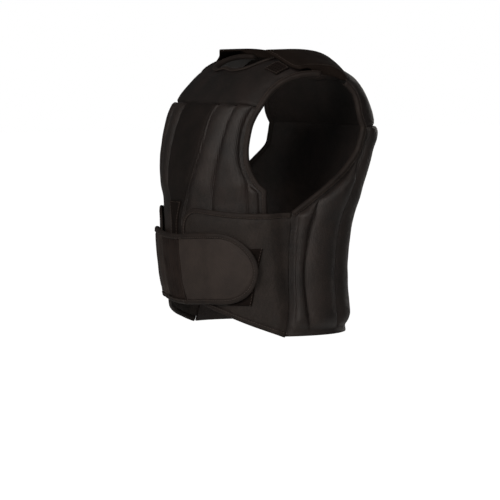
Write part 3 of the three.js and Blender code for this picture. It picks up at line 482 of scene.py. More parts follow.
def back_half_row(z):
    grooves, edge = back_grooves(z)
    half = rib_shares >= 0.5
    reach = mix(-back_centre_groove, back_centre_groove, rib_shares[half])
    height = mix(edge_thickness, rib_thickness, rib_profile[half])
    ribs = []
    for start, end in zip(grooves, grooves[1:]):
        fullness = smooth((end - start) / (back_rib_width * 0.5))
        ribs.append((start, end, mix(edge_thickness, rib_thickness, fullness)))
    return half_row(reach, height, ribs, grooves[-1], edge)


def on_back(reach, z, lift):
    return on_body(half_girth(z) + np.asarray(reach), z, lift)


back_z = quilt_rows(back_seam_drop, back_hem_drop)
back_quilt = grid_mesh("back_quilt_cloth", *quilt_grids(
    back_z, back_half_row, back_seam_drop, back_hem_drop, on_back, 4.1))
finish_piece(back_quilt, quilt_knit, "back_quilt")

# Yokes: smooth padded panels over the chest and the shoulder blades, in the same jersey over one
# flat sheet of foam, sewn to the quilted panels and left open round the neck.
yoke_thickness, neck_half_width, shoulder_reach = 9, 69, 138
yoke_seam_dent, yoke_rim_dent, seam_overlap = (2.0, 2.6), (0.8, 1.5), 0.001
yoke_puckers, pucker_reach, yoke_waves = (0.9, 8), 11, (0.35, 46)
# About the length over the shoulder from a seam to the top, which is one turn on the shoulder.
shoulder_span = math.hypot(body_front_depth, front_seam_drop)
# A neck line's points: how far along it, how far out, and the turn over the shoulder.
front_neck = np.array([(0, 0, 0.42), (0.2, 0.29, 0.43), (0.4, 0.58, 0.48), (0.58, 0.8, 0.59),
                       (0.74, 0.93, 0.75), (0.88, 0.985, 0.91), (1, 1, 1.06)])
back_neck = np.array([(0, 0, 1.6), (0.35, 0.36, 1.58), (0.65, 0.68, 1.52), (0.85, 0.87, 1.44),
                      (1, 0.96, 1.36)])
armhole_over = curve([0, 0.25, 0.5, 0.75, 1, 1.2, 1.4, 1.7, 2],
                     [0.91, 0.92, 0.942, 0.971, 0.993, 1, 1, 0.98, 0.94])
front_corner = on_body(front_edge_reach(-front_seam_drop), -front_seam_drop, 0)[0]
back_corner = -on_back(back_edge_reach(-back_seam_drop), -back_seam_drop, 0)[0]


corner_turns = 0.6


def armhole_x(turn):
    """How far out the armhole lies, eased at both ends to meet the quilted panels' corners."""
    at_front = (front_corner - shoulder_reach * armhole_over(0)) * (1 - smooth(turn / corner_turns))
    at_back = (back_corner - shoulder_reach * armhole_over(2)) * smooth(1 - (2 - turn) / corner_turns)
    return shoulder_reach * armhole_over(turn) + at_front + at_back


def nearest(line, points):
    """Each point's distance from the nearest point of a line."""
    return np.min(np.linalg.norm(points[..., None, :] - line, axis=-1), -1)


def neck_places(neck, share):
    """Sideways places and turns along half of a neck line, from the centre out."""
    return neck_half_width * curve(neck[:, 0], neck[:, 1])(share), curve(neck[:, 0], neck[:, 2])(share)


def yoke_lift(neck, seam_turn, x, turn):
    """Thickness of a yoke: pinched at its neck, its armhole, its seam and its shoulder end."""
    s = np.linspace(0, 1, 90)
    turns = mix(seam_turn, neck[-1, 2], s)
    point = shoulder_point(x, turn)
    to_rim = np.minimum(nearest(shoulder_point(*neck_places(neck, s)), point),
                        nearest(shoulder_point(armhole_x(turns), turns), point))
    to_seam = np.abs(turn - seam_turn) * shoulder_span
    full = np.minimum.reduce([roll_share(to_rim - hem_margin), mix(seam_fullness, 1, roll_share(to_seam)),
                              roll_share(np.abs(turn - neck[-1, 2]) * shoulder_span)])
    lift = mix(edge_thickness, yoke_thickness, full) - dent(to_rim - hem_margin, *yoke_rim_dent)
    slanted = ripple(x + to_seam * 0.4, to_seam, 2.2, yoke_puckers[1])
    pucker = yoke_puckers[0] * np.exp(-to_seam / pucker_reach) * slanted
    wave = yoke_waves[0] * full * ripple(x, to_seam, 0.7, yoke_waves[1])
    return lift - dent(to_seam, *yoke_seam_dent) + pucker + wave


def yoke_places(neck, seam_turn, neck_row_count):
    """Rows run up the centre line first and then round the neck; columns run out to the armhole."""
    centre_rows = 5
    total = centre_rows + neck_row_count
    i = np.concatenate([[0, 0.05, 0.15], np.linspace(0.35, centre_rows, 19),
                        np.linspace(centre_rows, total, 34)[1:]])
    inner_x, neck_turn = neck_places(neck, clamp01((i - centre_rows) / neck_row_count))
    start = seam_turn + (-seam_overlap if seam_turn < 1 else seam_overlap)
    inner_turn = np.where(i > centre_rows, neck_turn, mix(start, neck[0, 2], clamp01(i / centre_rows)))
    outer_turn = mix(start, neck[-1, 2], (i / total) ** 1.5)
    outer_x = armhole_x(outer_turn)
    steps = np.linspace(0, 1, 25) ** 0.92
    x = mix(inner_x[:, None], outer_x[:, None], steps)
    turn = mix(inner_turn[:, None], outer_turn[:, None], steps)
    return x, turn, np.searchsorted(i, centre_rows)


def make_yoke(name, node, neck, seam_turn, neck_row_count):
    x, turn, joined = yoke_places(neck, seam_turn, neck_row_count)
    outer = over_shoulder(x, turn, yoke_lift(neck, seam_turn, x, turn))
    inner = over_shoulder(x, turn, 0)
    chart = np.stack([x, turn * shoulder_span], -1)
    flipped = seam_turn > 1
    if flipped:
        outer, inner, chart = outer[:, ::-1], inner[:, ::-1], chart[:, ::-1]
    outer, inner = outer.copy(), inner.copy()
    centre = -1 if flipped else 0
    outer[:joined + 1, centre, 0] = inner[:joined + 1, centre, 0] = 0
    half = grid_mesh(name, outer, inner, chart)
    made = bmesh.new()
    made.from_mesh(half.data)
    on_centre = [f for f in made.faces if all(abs(v.co.x) < 1e-6 for v in f.verts)]
    bmesh.ops.delete(made, geom=on_centre, context="FACES")
    copy = bmesh.ops.duplicate(made, geom=made.faces[:])["geom"]
    faces = [g for g in copy if isinstance(g, bmesh.types.BMFace)]
    for vertex in {v for f in faces for v in f.verts}:
        vertex.co.x = -vertex.co.x
    bmesh.ops.reverse_faces(made, faces=faces)
    bmesh.ops.remove_doubles(made, verts=made.verts, dist=1e-5)
    made.to_mesh(half.data)
    made.free()
    finish_piece(half, yoke_shaded_knit, node)


# The yokes' knit is the quilted panels' jersey coloured a little darker as painted shade, where their slope
# turns them from the lights; it is also a little rougher.
yoke_shaded_knit = knit_cloth("smooth_shaded_jersey", "080605", "17110f", 0.62, 0.16)
make_yoke("front_yoke_cloth", "front_yoke", front_neck, 0, 8)
make_yoke("back_yoke_cloth", "back_yoke", back_neck, 2, 6)

# Shoulder straps: flat tongues of firmer twill over thin foam, sewn to the back yoke. Each lies over
# its shoulder and ends free in front, a little lifted at its inner corner.
strap_inner_edge, strap_width, strap_thickness, layer_gap = 66, 66, 5, 0.8
strap_front_turn, strap_corner_pull, strap_tip_lift, strap_seam_turn = 0.77, 9, 9, 1.36
strap_stitch_dent, strap_edge_roll, strap_waves = (0.6, 1.2), 1.6, (0.3, 30)
tip_share, tip_along = 0.6, 0.4
strap_lift = curve([0.6, 1.07, 1.15, 1.25, strap_seam_turn], [1, 1, 1, 0.8, 0.2])
strap_pull = curve([0, 0.12, 0.3, 0.5, 0.75, 0.9, 1], [-0.7, -0.5, -0.15, 0, 0.05, 0.35, 1])


def twill_cloth(name, low, high, roughness, specular):
    """Polyester twill: matt, near black, with slanting ribs. They are 0.6 mm apart on the real cloth and
    are drawn 2 mm apart, so that they show."""
    material, tree, shader, flat = new_cloth(name, roughness, specular)
    place = add_node(tree, "ShaderNodeTexCoord").outputs["Object"]
    cloud = add_node(tree, "ShaderNodeTexNoise", Vector=place, Scale=specks(38.5), Detail=4, Roughness=0.6)
    tree.links.new(colour_ramp(tree, cloud.outputs["Fac"], low, high), shader.inputs["Base Color"])
    slant = add_node(tree, "ShaderNodeTexWave", {"wave_type": "BANDS", "bands_direction": "DIAGONAL"},
                     Vector=flat, Scale=bands(2), Distortion=0.6, Detail=1, Detail_Scale=2)
    fine = add_node(tree, "ShaderNodeBump", Strength=0.3, Distance=0.0004, Height=slant.outputs["Fac"])
    soft = add_node(tree, "ShaderNodeBump", Strength=0.4, Distance=0.001, Height=cloud.outputs["Fac"],
                    Normal=fine.outputs["Normal"])
    tree.links.new(soft.outputs["Normal"], shader.inputs["Normal"])
    return material


strap_twill = twill_cloth("firm_twill", "0d0806", "15100d", 0.9, 0.05)


def strap_place(share, along):
    pull = strap_front_turn + strap_corner_pull * strap_pull(share) / shoulder_span
    turn = mix(pull, strap_seam_turn - 0.006, along)
    seated = (yoke_thickness + layer_gap) * strap_lift(np.maximum(turn, 0.6))
    tip = strap_tip_lift * clamp01(1 - share / tip_share) ** 2 * clamp01(1 - along / tip_along) ** 2
    return strap_inner_edge + strap_width * share, turn, seated + tip


def mirror_points(points):
    """The same grid on the wearer's other side, with its columns turned round so that it faces out."""
    flipped = points[:, ::-1].copy()
    flipped[..., 0] *= -1
    return flipped


turned_by_side = {"left": lambda points: points, "right": mirror_points}
strap_shares = np.array([0, 0.02, 0.06, *np.linspace(0.12, 0.88, 14), 0.94, 0.98, 1])
strap_alongs = np.sort([0, 0.015, 0.04, *np.linspace(0.08, 0.96, 22), 0.49, 0.495, 0.505, 0.51, 0.99, 1])
share, along = np.meshgrid(strap_shares, strap_alongs)
strap_x, strap_turn, seat = strap_place(share, along)
strap_length = (strap_seam_turn - strap_front_turn) * shoulder_span
to_edge = np.minimum.reduce([share * strap_width, (1 - share) * strap_width, along * strap_length])
strap_chart = np.stack([strap_x, strap_turn * shoulder_span], -1)
thickness = strap_thickness - strap_edge_roll * np.exp(-to_edge / strap_edge_roll)
thickness = thickness - dent(to_edge - 5, *strap_stitch_dent)
thickness = thickness + strap_waves[0] * ripple(strap_x, strap_turn * shoulder_span, 0.4, strap_waves[1])
strap_outer = over_shoulder(strap_x, strap_turn, seat + thickness)
# The strap's foam follows the front yoke down to its end, and past it comes down to the shoulder.
front_yoke_end = front_neck[-1, 2]
descent_start, foot_start, foot_end = front_yoke_end - 0.11, front_yoke_end + 0.004, 1.35
descent_ease, foot_ease = 0.05, 0.03
on_yoke = np.minimum(seat, yoke_lift(front_neck, 0, strap_x, strap_turn) + gap)
under = mix(seat, on_yoke, smooth((strap_turn - descent_start) / descent_ease))
under = np.where(strap_turn > foot_start, 0, under)
under = mix(seat, under, smooth((foot_end - strap_turn) / foot_ease))
strap_inner = over_shoulder(strap_x, strap_turn, under + gap)
for side, turned in turned_by_side.items():
    strap = grid_mesh(f"shoulder_strap_cloth_{side}", turned(strap_outer), turned(strap_inner),
                      turned(strap_chart))
    finish_piece(strap, strap_twill, f"shoulder_strap_{side}")

# Fastener patches on the front of the shoulders: short strips of loop cloth, sewn down with a
# border and five raised bars across.
patch_start, patch_width, patch_length, patch_turn, patch_bars = 90, 27, 26, 0.672, 5
patch_thickness, patch_sunk = 1.5, 0.6


def loop_pile(name, low, high):
    """Napped loop cloth: a dense, dull fuzz of tiny loops. They are about 0.4 mm wide on such cloth and
    are drawn 1.5 mm wide, so that they show."""
    material, tree, shader, _ = new_cloth(name, 0.95, 0.05)
    place = add_node(tree, "ShaderNodeTexCoord").outputs["Object"]
    tufts = add_node(tree, "ShaderNodeTexNoise", Vector=place, Scale=specks(1.54), Detail=3, Roughness=0.75)
    cloud = add_node(tree, "ShaderNodeTexNoise", Vector=place, Scale=specks(16.7), Detail=3)
    both = add_node(tree, "ShaderNodeMath", {"operation": "MULTIPLY_ADD"}, i0=cloud.outputs["Fac"], i1=0.5,
                    i2=tufts.outputs["Fac"])
    both = add_node(tree, "ShaderNodeMath", {"operation": "SUBTRACT"}, i0=both.outputs[0], i1=0.25)
    tree.links.new(colour_ramp(tree, both.outputs[0], low, high), shader.inputs["Base Color"])
    bump = add_node(tree, "ShaderNodeBump", Strength=0.8, Distance=0.0008, Height=tufts.outputs["Fac"])
    tree.links.new(bump.outputs["Normal"], shader.inputs["Normal"])
    return material


pile = loop_pile("loop_pile", "0a0706", "130e0c")
share, along = np.meshgrid(np.linspace(0, 1, 15), np.linspace(0, 1, 61))
to_rim = np.minimum(np.minimum(share, 1 - share) * patch_width, np.minimum(along, 1 - along) * patch_length)
bars = 0.5 - 0.5 * np.cos(2 * math.pi * patch_bars * along)
lift = yoke_thickness + gap + patch_thickness * (0.45 + 0.9 * bars * smooth(to_rim / 2.5))
patch_x = patch_start + patch_width * share
patch_turns = patch_turn + (along - 0.5) * patch_length / shoulder_span
patch_outer = over_shoulder(patch_x, patch_turns, lift)
patch_inner = over_shoulder(patch_x, patch_turns, yoke_thickness + gap - patch_sunk)
patch_chart = np.stack([patch_x, patch_turns * shoulder_span], -1)
for side, turned in turned_by_side.items():
    patch = grid_mesh(f"shoulder_patch_cloth_{side}", turned(patch_outer), turned(patch_inner),
                      turned(patch_chart))
    finish_piece(patch, pile, f"shoulder_patch_{side}", levels=0)

# Front loop patch: a panel of the same loop cloth, sewn low on the flat of the centre column. It
# tapers with the column and runs down behind the belt, which presses on it.
loop_top_drop, loop_bottom_drop = 196, 330


def column_lift(z):
    return mix(edge_thickness, column_height(z), padding_at(z, front_seam_drop, front_hem_drop))


def loop_half(z):
    return column_half(z) - column_flank - gap


def patch_face(rim):
    """How far a patch's face stands up at a distance from its rim."""
    return patch_thickness * (0.6 + 0.4 * smooth(rim / 2))


z = -np.linspace(loop_bottom_drop, loop_top_drop, 52)[:, None]
reach = loop_half(z) * np.linspace(-1, 1, 17)
rim = np.minimum(loop_half(z) - np.abs(reach), np.minimum(z + loop_bottom_drop, -loop_top_drop - z))
loop_patch = grid_mesh("front_loop_cloth", on_body(reach, z, column_lift(z) + gap + patch_face(rim)),
                       on_body(reach, z, column_lift(z) - gap),
                       np.stack([reach, np.broadcast_to(z, reach.shape)], -1))
finish_piece(loop_patch, pile, "front_loop_patch", levels=0)
loop_height = loop_bottom_drop - loop_top_drop
loop_half(z).max() * 0.002
loop_half(z).mean() * 2 * loop_height * 1e-6

# Side wings: thin padded flaps in the same jersey, sewn to the back panel and wrapped forward over
# the ribs. A tape binds their top, front and bottom, and pulls the rounded corners into puckers.
wing_fronts = {"left": 24, "right": 57}
wing_corner_radius, wing_top_rise, wing_hem_slope, wing_thickness, rim_width = 32, 7, 0.383, 4.5, 8
tape_thickness, tape_width, tape_clearance = 1.2, 6, 0.9
tape_line, tape_line_dent, seam_tuck = 11, (1.2, 1.5), 1.4
flap_waves, flap_puckers = (0.3, 40), (0.75, 11)
rim_inset = tape_clearance + tape_thickness
rib_lift = mix(edge_thickness, rib_thickness, pressed_share) + layer_gap
wing_lift = curve([0, 0.85, 0.9, 0.96, 1.02, 1.07, 1.14, 1.3], [1, 1, 0.88, 0.77, 0.73, 0.45, 0.03, 0])


def wing_base(reach):
    return rib_lift * wing_lift(np.minimum(np.asarray(reach) / front_side_reach, 1.3))


def wing_hem(reach):
    return back_hem_drop - wing_hem_slope * np.maximum(0, wing_seam_reach - wing_seam_lean / 2 - reach)


def wing_top(reach):
    along = (wing_seam_reach - reach) / (wing_seam_reach - column_half_width) - 0.3
    return wing_top_drop - wing_top_rise * smooth(along)


def end_pull(distance, radius, depth):
    """How far a round end draws back at a distance from the long edge."""
    inside = clamp01((radius - np.asarray(distance, float)) / radius)
    return depth * (1 - np.sqrt(1 - inside**2))


tongue_shares = np.array([0, 0.008, 0.02, 0.045, 0.08, 0.12, 0.17, 0.24, *np.linspace(0.32, 0.68, 12),
                          0.76, 0.83, 0.88, 0.92, 0.955, 0.98, 0.992, 1])
rim_steps = np.array([0, 0.12, 0.3, 0.5, 0.75, 1])


def wing_grid(front):
    """Reaches and heights of a wing's rows and columns, and each spot's distance from the bound rim."""
    height = wing_hem(front) - wing_top(front)
    share = tongue_shares[:, None]
    distance = np.minimum(share, 1 - share) * height
    pull = end_pull(distance, wing_corner_radius, wing_corner_radius)
    seam = wing_seam(-mix(back_hem_drop, wing_top_drop, share)) + seam_tuck
    first = front + pull
    margin = first + rim_width * 1.4
    reach = np.concatenate([mix(first, margin, rim_steps),
                            mix(margin, seam - 1, np.linspace(0, 1, 44)[1:]), seam], 1)
    z = -mix(wing_hem(reach), wing_top(reach), share)
    spots = np.stack([reach, z], -1)
    return reach, z, nearest(np.concatenate([spots[0], spots[1:, 0], spots[-1]]), spots)


def padded_tongue(name, reach, z, to_rim, base, thickness, seed, turned):
    """A flap that is pinched on both faces where the tape folds round it."""
    inset = rim_inset * (1 - smooth((to_rim - tape_width * 0.75) / 5))
    full = smooth((to_rim - tape_width) / 7)
    lift = base(reach) + thickness - inset + flap_waves[0] * full * ripple(reach, z, seed, flap_waves[1])
    pucker = flap_puckers[0] * np.exp(-np.maximum(to_rim - tape_width, 0) / 7) * (to_rim > tape_width * 0.6)
    lift = lift + pucker * ripple(reach, z, seed + 1, flap_puckers[1])
    lift = lift - dent(to_rim - tape_line, *tape_line_dent)
    outer = on_body(reach, z, lift)
    inner = on_body(reach, z, base(reach) + inset)
    chart = np.stack([reach, z], -1)
    return grid_mesh(name, turned(outer), turned(inner), turned(chart))


wing_knit = knit_cloth("wing_jersey", "0d0907", "1c1613", 0.6, 0.17)
wings = {}
for side, front in wing_fronts.items():
    wings[side] = wing_grid(front)
    wing = padded_tongue(f"side_wing_cloth_{side}", *wings[side], wing_base, wing_thickness, 2.9,
                         turned_by_side[side])
    finish_piece(wing, wing_knit, f"side_wing_{side}")

# Loop patches on the wings: panels of loop cloth sewn flat on each wing, behind the belt's end, which
# presses on them. Their rear edge leans.
wing_patch_start, wing_patch_reach, wing_patch_lean, wing_patch_gap = 94, 150, 23, 1.3
wing_patch_top, wing_patch_bottom = 260, 343
wing_patch_width, wing_patch_height = wing_patch_reach - wing_patch_start, wing_patch_bottom - wing_patch_top
rounded_across, rounded_down = 50, 80
down, part = np.meshgrid(np.linspace(0, 1, 30), np.linspace(0, 1, 22), indexing="ij")
z = -mix(wing_patch_bottom, wing_patch_top, down)
reach = mix(wing_patch_start, wing_patch_reach - wing_patch_lean * (1 - down), part)
rim = np.minimum.reduce([(1 - part) * rounded_across, down * rounded_down, (1 - down) * rounded_down])
lift = wing_base(reach) + wing_thickness
patch_outer = on_body(reach, z, lift + wing_patch_gap * 0.5 + patch_face(rim))
patch_inner = on_body(reach, z, lift - patch_sunk)
for side, turned in turned_by_side.items():
    patch = grid_mesh(f"wing_loop_cloth_{side}", turned(patch_outer), turned(patch_inner),
                      turned(np.stack([reach, z], -1)))
    finish_piece(patch, pile, f"wing_loop_patch_{side}", levels=0)

# Belt: a middle of gathered elastic webbing, and a padded D-shaped tab sewn to each end of it.
# The tabs' hook cloth presses on the wings' patches; one tape binds the whole belt.
belt_top_drop, belt_height, belt_side_rise = 244, 100, 5
elastic_reaches = {"left": 20, "right": 38}
elastic_thickness, tab_tip_reach, tab_end_depth, tab_thickness = 2.5, 141, 50, 4.5
# The belt steps up over a wing's front edge and over its patch, at distances before each, and eases
# down past the patch's rear edge.
wing_step, patch_step, tip_ease, tip_lift_share = (12, 5), (31, 16), 14, 0.86
belt_over_column = column_lift(-belt_top_drop) + gap + patch_thickness + gap
belt_over_wing = rib_lift + wing_thickness + wing_patch_gap + patch_thickness + layer_gap


def belt_base_over(front):
    lift = curve([0, front - wing_step[0], front - wing_step[1],
                  wing_patch_start - patch_step[0], wing_patch_start - patch_step[1],
                  wing_patch_reach - tip_ease, wing_patch_reach + tip_ease],
                 [0, 0, 0.5, 0.5, 1, 1, tip_lift_share])
    return lambda reach: mix(belt_over_column, belt_over_wing, lift(np.asarray(reach, float)))


belt_bases = {side: belt_base_over(front) for side, front in wing_fronts.items()}


def elastic_base(reach):
    return np.where(reach < 0, belt_bases["right"](np.abs(reach)), belt_bases["left"](np.abs(reach)))


def belt_z(share, reach):
    rise = belt_side_rise * smooth(np.abs(reach) / middle_groove)
    return -mix(belt_top_drop + belt_height, belt_top_drop, share) + rise


def ribbed_elastic(name, low, high):
    """Woven elastic: brown-black and dull, with cords running up it. They are about 1.2 mm apart on such
    webbing and are drawn 2.4 mm apart, so that they show."""
    material, tree, shader, flat = new_cloth(name, 0.85, 0.1)
    cords = add_node(tree, "ShaderNodeTexWave", {"wave_type": "BANDS", "bands_direction": "X"},
                     Vector=flat, Scale=bands(2.4), Distortion=1.5, Detail=2, Detail_Scale=1.5)
    place = add_node(tree, "ShaderNodeTexCoord").outputs["Object"]
    cloud = add_node(tree, "ShaderNodeTexNoise", Vector=place, Scale=specks(22.2), Detail=4)
    both = add_node(tree, "ShaderNodeMath", {"operation": "MULTIPLY_ADD"}, i0=cords.outputs["Fac"], i1=0.15,
                    i2=cloud.outputs["Fac"])
    both = add_node(tree, "ShaderNodeMath", {"operation": "SUBTRACT"}, i0=both.outputs[0], i1=0.08)
    tree.links.new(colour_ramp(tree, both.outputs[0], low, high), shader.inputs["Base Color"])
    bump = add_node(tree, "ShaderNodeBump", Strength=0.15, Distance=0.0003, Height=cords.outputs["Fac"])
    tree.links.new(bump.outputs["Normal"], shader.inputs["Normal"])
    return material


elastic_web = ribbed_elastic("elastic_webbing", "130d0b", "1e1714")
elastic_ends = -elastic_reaches["right"], elastic_reaches["left"]
gather_height, gather_spacing, crease_height = 0.22, 7, 0.4
share, reach = np.meshgrid(np.linspace(0, 1, 40), np.linspace(*elastic_ends, 61), indexing="ij")
z = belt_z(share, reach)
to_rim = np.minimum(share, 1 - share) * belt_height
wander = 1.4 * np.sin(z / 17 + reach / 9)
gathers = gather_height * np.sin(2 * math.pi * reach / gather_spacing + wander)
gathers = gathers + crease_height * ripple(reach * 4, z, 0.3, 30)
lift = elastic_base(reach) + rim_inset + elastic_thickness
elastic_outer = on_body(reach, z, lift - 0.6 + gathers * smooth((to_rim - tape_width + 2) / 6))
elastic = grid_mesh("belt_elastic_web", elastic_outer, on_body(reach, z, lift - elastic_thickness),
                    np.stack([reach, z], -1))
finish_piece(elastic, elastic_web, "belt_elastic")


def tab_grid(elastic_reach):
    share = tongue_shares[:, None]
    distance = np.minimum(share, 1 - share) * belt_height
    pull = end_pull(distance, belt_height / 2, tab_end_depth)
    start = elastic_reach + gap
    last = tab_tip_reach - pull
    margin = last - rim_width * 1.4
    reach = np.concatenate([mix(start, margin, np.linspace(0, 1, 34)[:-1]),
                            mix(margin, last, 1 - rim_steps[::-1])], 1)
    z = belt_z(share, reach)
    spots = np.stack([reach, z], -1)
    return reach, z, nearest(np.concatenate([spots[0], spots[1:, -1], spots[-1]]), spots)


tab_twill = twill_cloth("tab_twill", "1c1715", "26201d", 0.75, 0.15)
tabs = {side: tab_grid(reach) for side, reach in elastic_reaches.items()}
for side, turned in turned_by_side.items():
    tab = padded_tongue(f"belt_tab_cloth_{side}", *tabs[side], belt_bases[side], tab_thickness, 5.3, turned)
    finish_piece(tab, tab_twill, f"belt_tab_{side}")

# Binding: a satin woven tape folded round each raw edge and stitched through. The neck, the
# armholes with the front panel's sides, the wings and the belt have their own lengths of it.


def binding_tape(name, low, high):
    """Satin-faced woven tape: dull and close to black, with fine ribs across it. They are under 1 mm apart
    on the real tape and are drawn 1.5 mm apart."""
    material, tree, shader, flat = new_cloth(name, 0.7, 0.15)
    place = add_node(tree, "ShaderNodeTexCoord").outputs["Object"]
    cloud = add_node(tree, "ShaderNodeTexNoise", Vector=place, Scale=specks(14.3), Detail=3)
    tree.links.new(colour_ramp(tree, cloud.outputs["Fac"], low, high), shader.inputs["Base Color"])
    ribs = add_node(tree, "ShaderNodeTexWave", {"wave_type": "BANDS", "bands_direction": "X"},
                    Vector=flat, Scale=bands(1.5), Distortion=0.8, Detail=1)
    bump = add_node(tree, "ShaderNodeBump", Strength=0.35, Distance=0.0004, Height=ribs.outputs["Fac"])
    soft = add_node(tree, "ShaderNodeBump", Strength=0.4, Distance=0.001, Height=cloud.outputs["Fac"],
                    Normal=bump.outputs["Normal"])
    tree.links.new(soft.outputs["Normal"], shader.inputs["Normal"])
    return material


tape = binding_tape("satin_tape", "0f0a08", "18120f")
fold_place, fold_depth, tape_corner, tape_wave = 1.2, 1.5, 0.45, (0.18, 9)
tape_row_inset, thread_lift = 1.4, 0.15
stitch_rows = []


def tape_section(half):
    """The folded tape's outline across the edge: how far in, and how far up or down."""
    far, near = half + tape_clearance + tape_thickness, half + tape_clearance
    fold = np.linspace(math.pi / 2, -math.pi / 2, 7)
    outer_depth = fold_depth + tape_thickness
    outer = [(tape_width, far - tape_corner), (tape_width - 0.5, far), (tape_width * 0.5, far),
             *[(fold_place - outer_depth * math.cos(a), far * math.sin(a)) for a in fold],
             (tape_width * 0.5, -far), (tape_width - 0.5, -far), (tape_width, -far + tape_corner)]
    inner = [(tape_width, -near),
             *[(fold_place - fold_depth * math.cos(a), near * math.sin(a)) for a in fold[::-1]],
             (tape_width, near)]
    return np.array(outer + inner)


def smoothed(vectors):
    """Unit vectors averaged with their neighbours, so that the tape turns evenly."""
    longer = np.concatenate([vectors[:1], vectors, vectors[-1:]])
    return unit((longer[:-2] + longer[1:-1] + longer[2:]) / 3)


def run_along(spots):
    """How far along its path each spot lies."""
    return np.concatenate([[0], np.cumsum(np.linalg.norm(np.diff(spots, axis=0), axis=1))])


def folded_tape(name, node, outer, inner, margin_outer, margin_inner, is_loop=False):
    """Sweeps the folded section along a rim, given as outer and inner points on the rim and again a
    little way in, with the panel on the left as seen from outside."""
    spots = (outer + inner) / 2
    if is_loop:
        along = np.roll(spots, -1, 0) - np.roll(spots, 1, 0)
    else:
        along = np.gradient(spots, axis=0)
    along = unit(along)
    inward = (margin_outer + margin_inner) / 2 - spots
    inward = unit(inward - along * np.sum(inward * along, 1, keepdims=True))
    normal = np.cross(along, inward)
    if not is_loop:
        inward, normal = smoothed(inward), smoothed(normal)
    half = np.linalg.norm(outer - inner, axis=1) / 2
    run = run_along(spots)
    rings = []
    for i in range(len(spots)):
        section = tape_section(half[i])
        wave = tape_wave[0] * ripple(run[i], section[:, 0] * 4, 0.9, tape_wave[1])
        up = section[:, 1] + np.sign(section[:, 1]) * wave * (section[:, 0] > 0.8)
        rings.append(spots[i] + inward[i] * section[:, :1] + normal[i] * up[:, None])
    rings = np.array(rings)
    count, corners = rings.shape[:2]
    index = np.arange(count * corners).reshape(count, corners)
    following = np.roll(index, -1, 0) if is_loop else index[1:]
    here = index if is_loop else index[:-1]
    quads = np.stack([here, np.roll(here, -1, 1), np.roll(following, -1, 1), following], -1).reshape(-1, 4)
    faces = quads.tolist()
    if not is_loop:
        faces += [index[0, ::-1].tolist(), index[-1].tolist()]
    flat = np.stack([np.repeat(run, corners), np.tile(np.arange(corners), count)], -1)
    piece = new_piece(name, rings.reshape(-1, 3), faces, flat)
    finish_piece(piece, tape, node, levels=0)
    face = (half + tape_clearance + tape_thickness + thread_lift)[:, None]
    stitch_rows.append((spots + inward * (tape_width - tape_row_inset) + normal * face, is_loop))


def edge_points(locate, across, along):
    """Outer and inner points on an edge of the panels."""
    return [locate(across, along, lift) for lift in (edge_thickness, 0)]


def other_side(*groups):
    """The same rims on the wearer's right, run the other way so that the panel stays on their left."""
    return [[points[::-1] * np.array([-1, 1, 1]) for points in group] for group in groups]


def neck_line(neck, outset):
    """Half of the neck line, moved out from the neck by outset millimetres, centre first."""
    x, turn = neck_places(neck, np.linspace(0, 1, 40))
    flat = np.stack([x, turn * shoulder_span], -1)
    along = unit(np.gradient(flat, axis=0))
    away = np.stack([along[:, 1], -along[:, 0]], -1)
    if neck[0, 2] > 1:
        away = -away
    moved = flat + away * outset
    moved[0, 0] = 0
    return moved[:, 0], moved[:, 1] / shoulder_span


def whole_line(x, turn, starts_left):
    """Both halves of a line that starts on the centre, from the wearer's left or right end."""
    x, turn = np.concatenate([x[::-1], -x[1:]]), np.concatenate([turn[::-1], turn[1:]])
    return (x, turn) if starts_left else (x[::-1], turn[::-1])


for name, node, neck, starts_left in (
    ("neck_tape_front", "neck_binding_front", front_neck, True),
    ("neck_tape_back", "neck_binding_back", back_neck, False),
):
    rim, inside = (edge_points(over_shoulder, *whole_line(*neck_line(neck, outset), starts_left))
                   for outset in (0, tape_width - 1))
    folded_tape(name, node, *rim, *inside)


def armhole_rims(*stretches):
    """The rim and the line a tape's width inside it, from stretches of panel edge. Each has its chart,
    its places across and along, and the way in from the edge."""
    return [[np.concatenate(faces) for faces in zip(*(
        edge_points(locate, across + way_in * inset, along) for locate, across, along, way_in in stretches))]
        for inset in (0, tape_width)]


turns_front, turns_back = np.linspace(0.004, front_yoke_end, 44), np.linspace(strap_seam_turn, 1.996, 30)
front_side_z = -np.linspace(front_hem_drop, front_seam_drop + 0.5, 76)
back_side_z = -np.linspace(back_seam_drop + 0.5, wing_top_drop - 1.5, 40)
armholes = {
    "front": armhole_rims((on_body, front_edge_reach(front_side_z), front_side_z, -1),
                          (over_shoulder, armhole_x(turns_front), turns_front, -1)),
    "back": armhole_rims(
        (over_shoulder, armhole_x(turns_back), turns_back, -1),
        (on_body, half_girth(back_side_z) - back_edge_reach(back_side_z), back_side_z, 1)),
}
for side in turned_by_side:
    for end, rims in armholes.items():
        rim, inside = other_side(*rims) if side == "right" else rims
        folded_tape(f"armhole_tape_{end}_{side}", f"armhole_binding_{end}_{side}", *rim, *inside)


def flat_inward(spots, width):
    """Spots moved to the left of their path by a width."""
    way = unit(np.gradient(spots, axis=0))
    return spots + np.stack([-way[:, 1], way[:, 0]], -1) * width


def evenly(spots, step):
    """The same path with spots an even step apart."""
    run = run_along(spots)
    at = np.linspace(0, run[-1], max(3, int(run[-1] / step)))
    return np.stack([np.interp(at, run, spots[:, k]) for k in (0, 1)], -1)


def tongue_rim(reach, z, base, thickness):
    """Outer and inner points on a flap's rim at each spot, pinched as the flap is."""
    return on_body(reach, z, base(reach) + thickness - rim_inset), on_body(reach, z, base(reach) + rim_inset)


rim_spacing = 3


def tongue_rims(side, path, base, thickness):
    """A flap's rim and the line a tape's width inside it, along a path round the flap."""
    spots = evenly(path, rim_spacing)
    groups = [tongue_rim(*line.T, base, thickness) for line in (spots, flat_inward(spots, tape_width))]
    return other_side(*groups) if side == "right" else groups


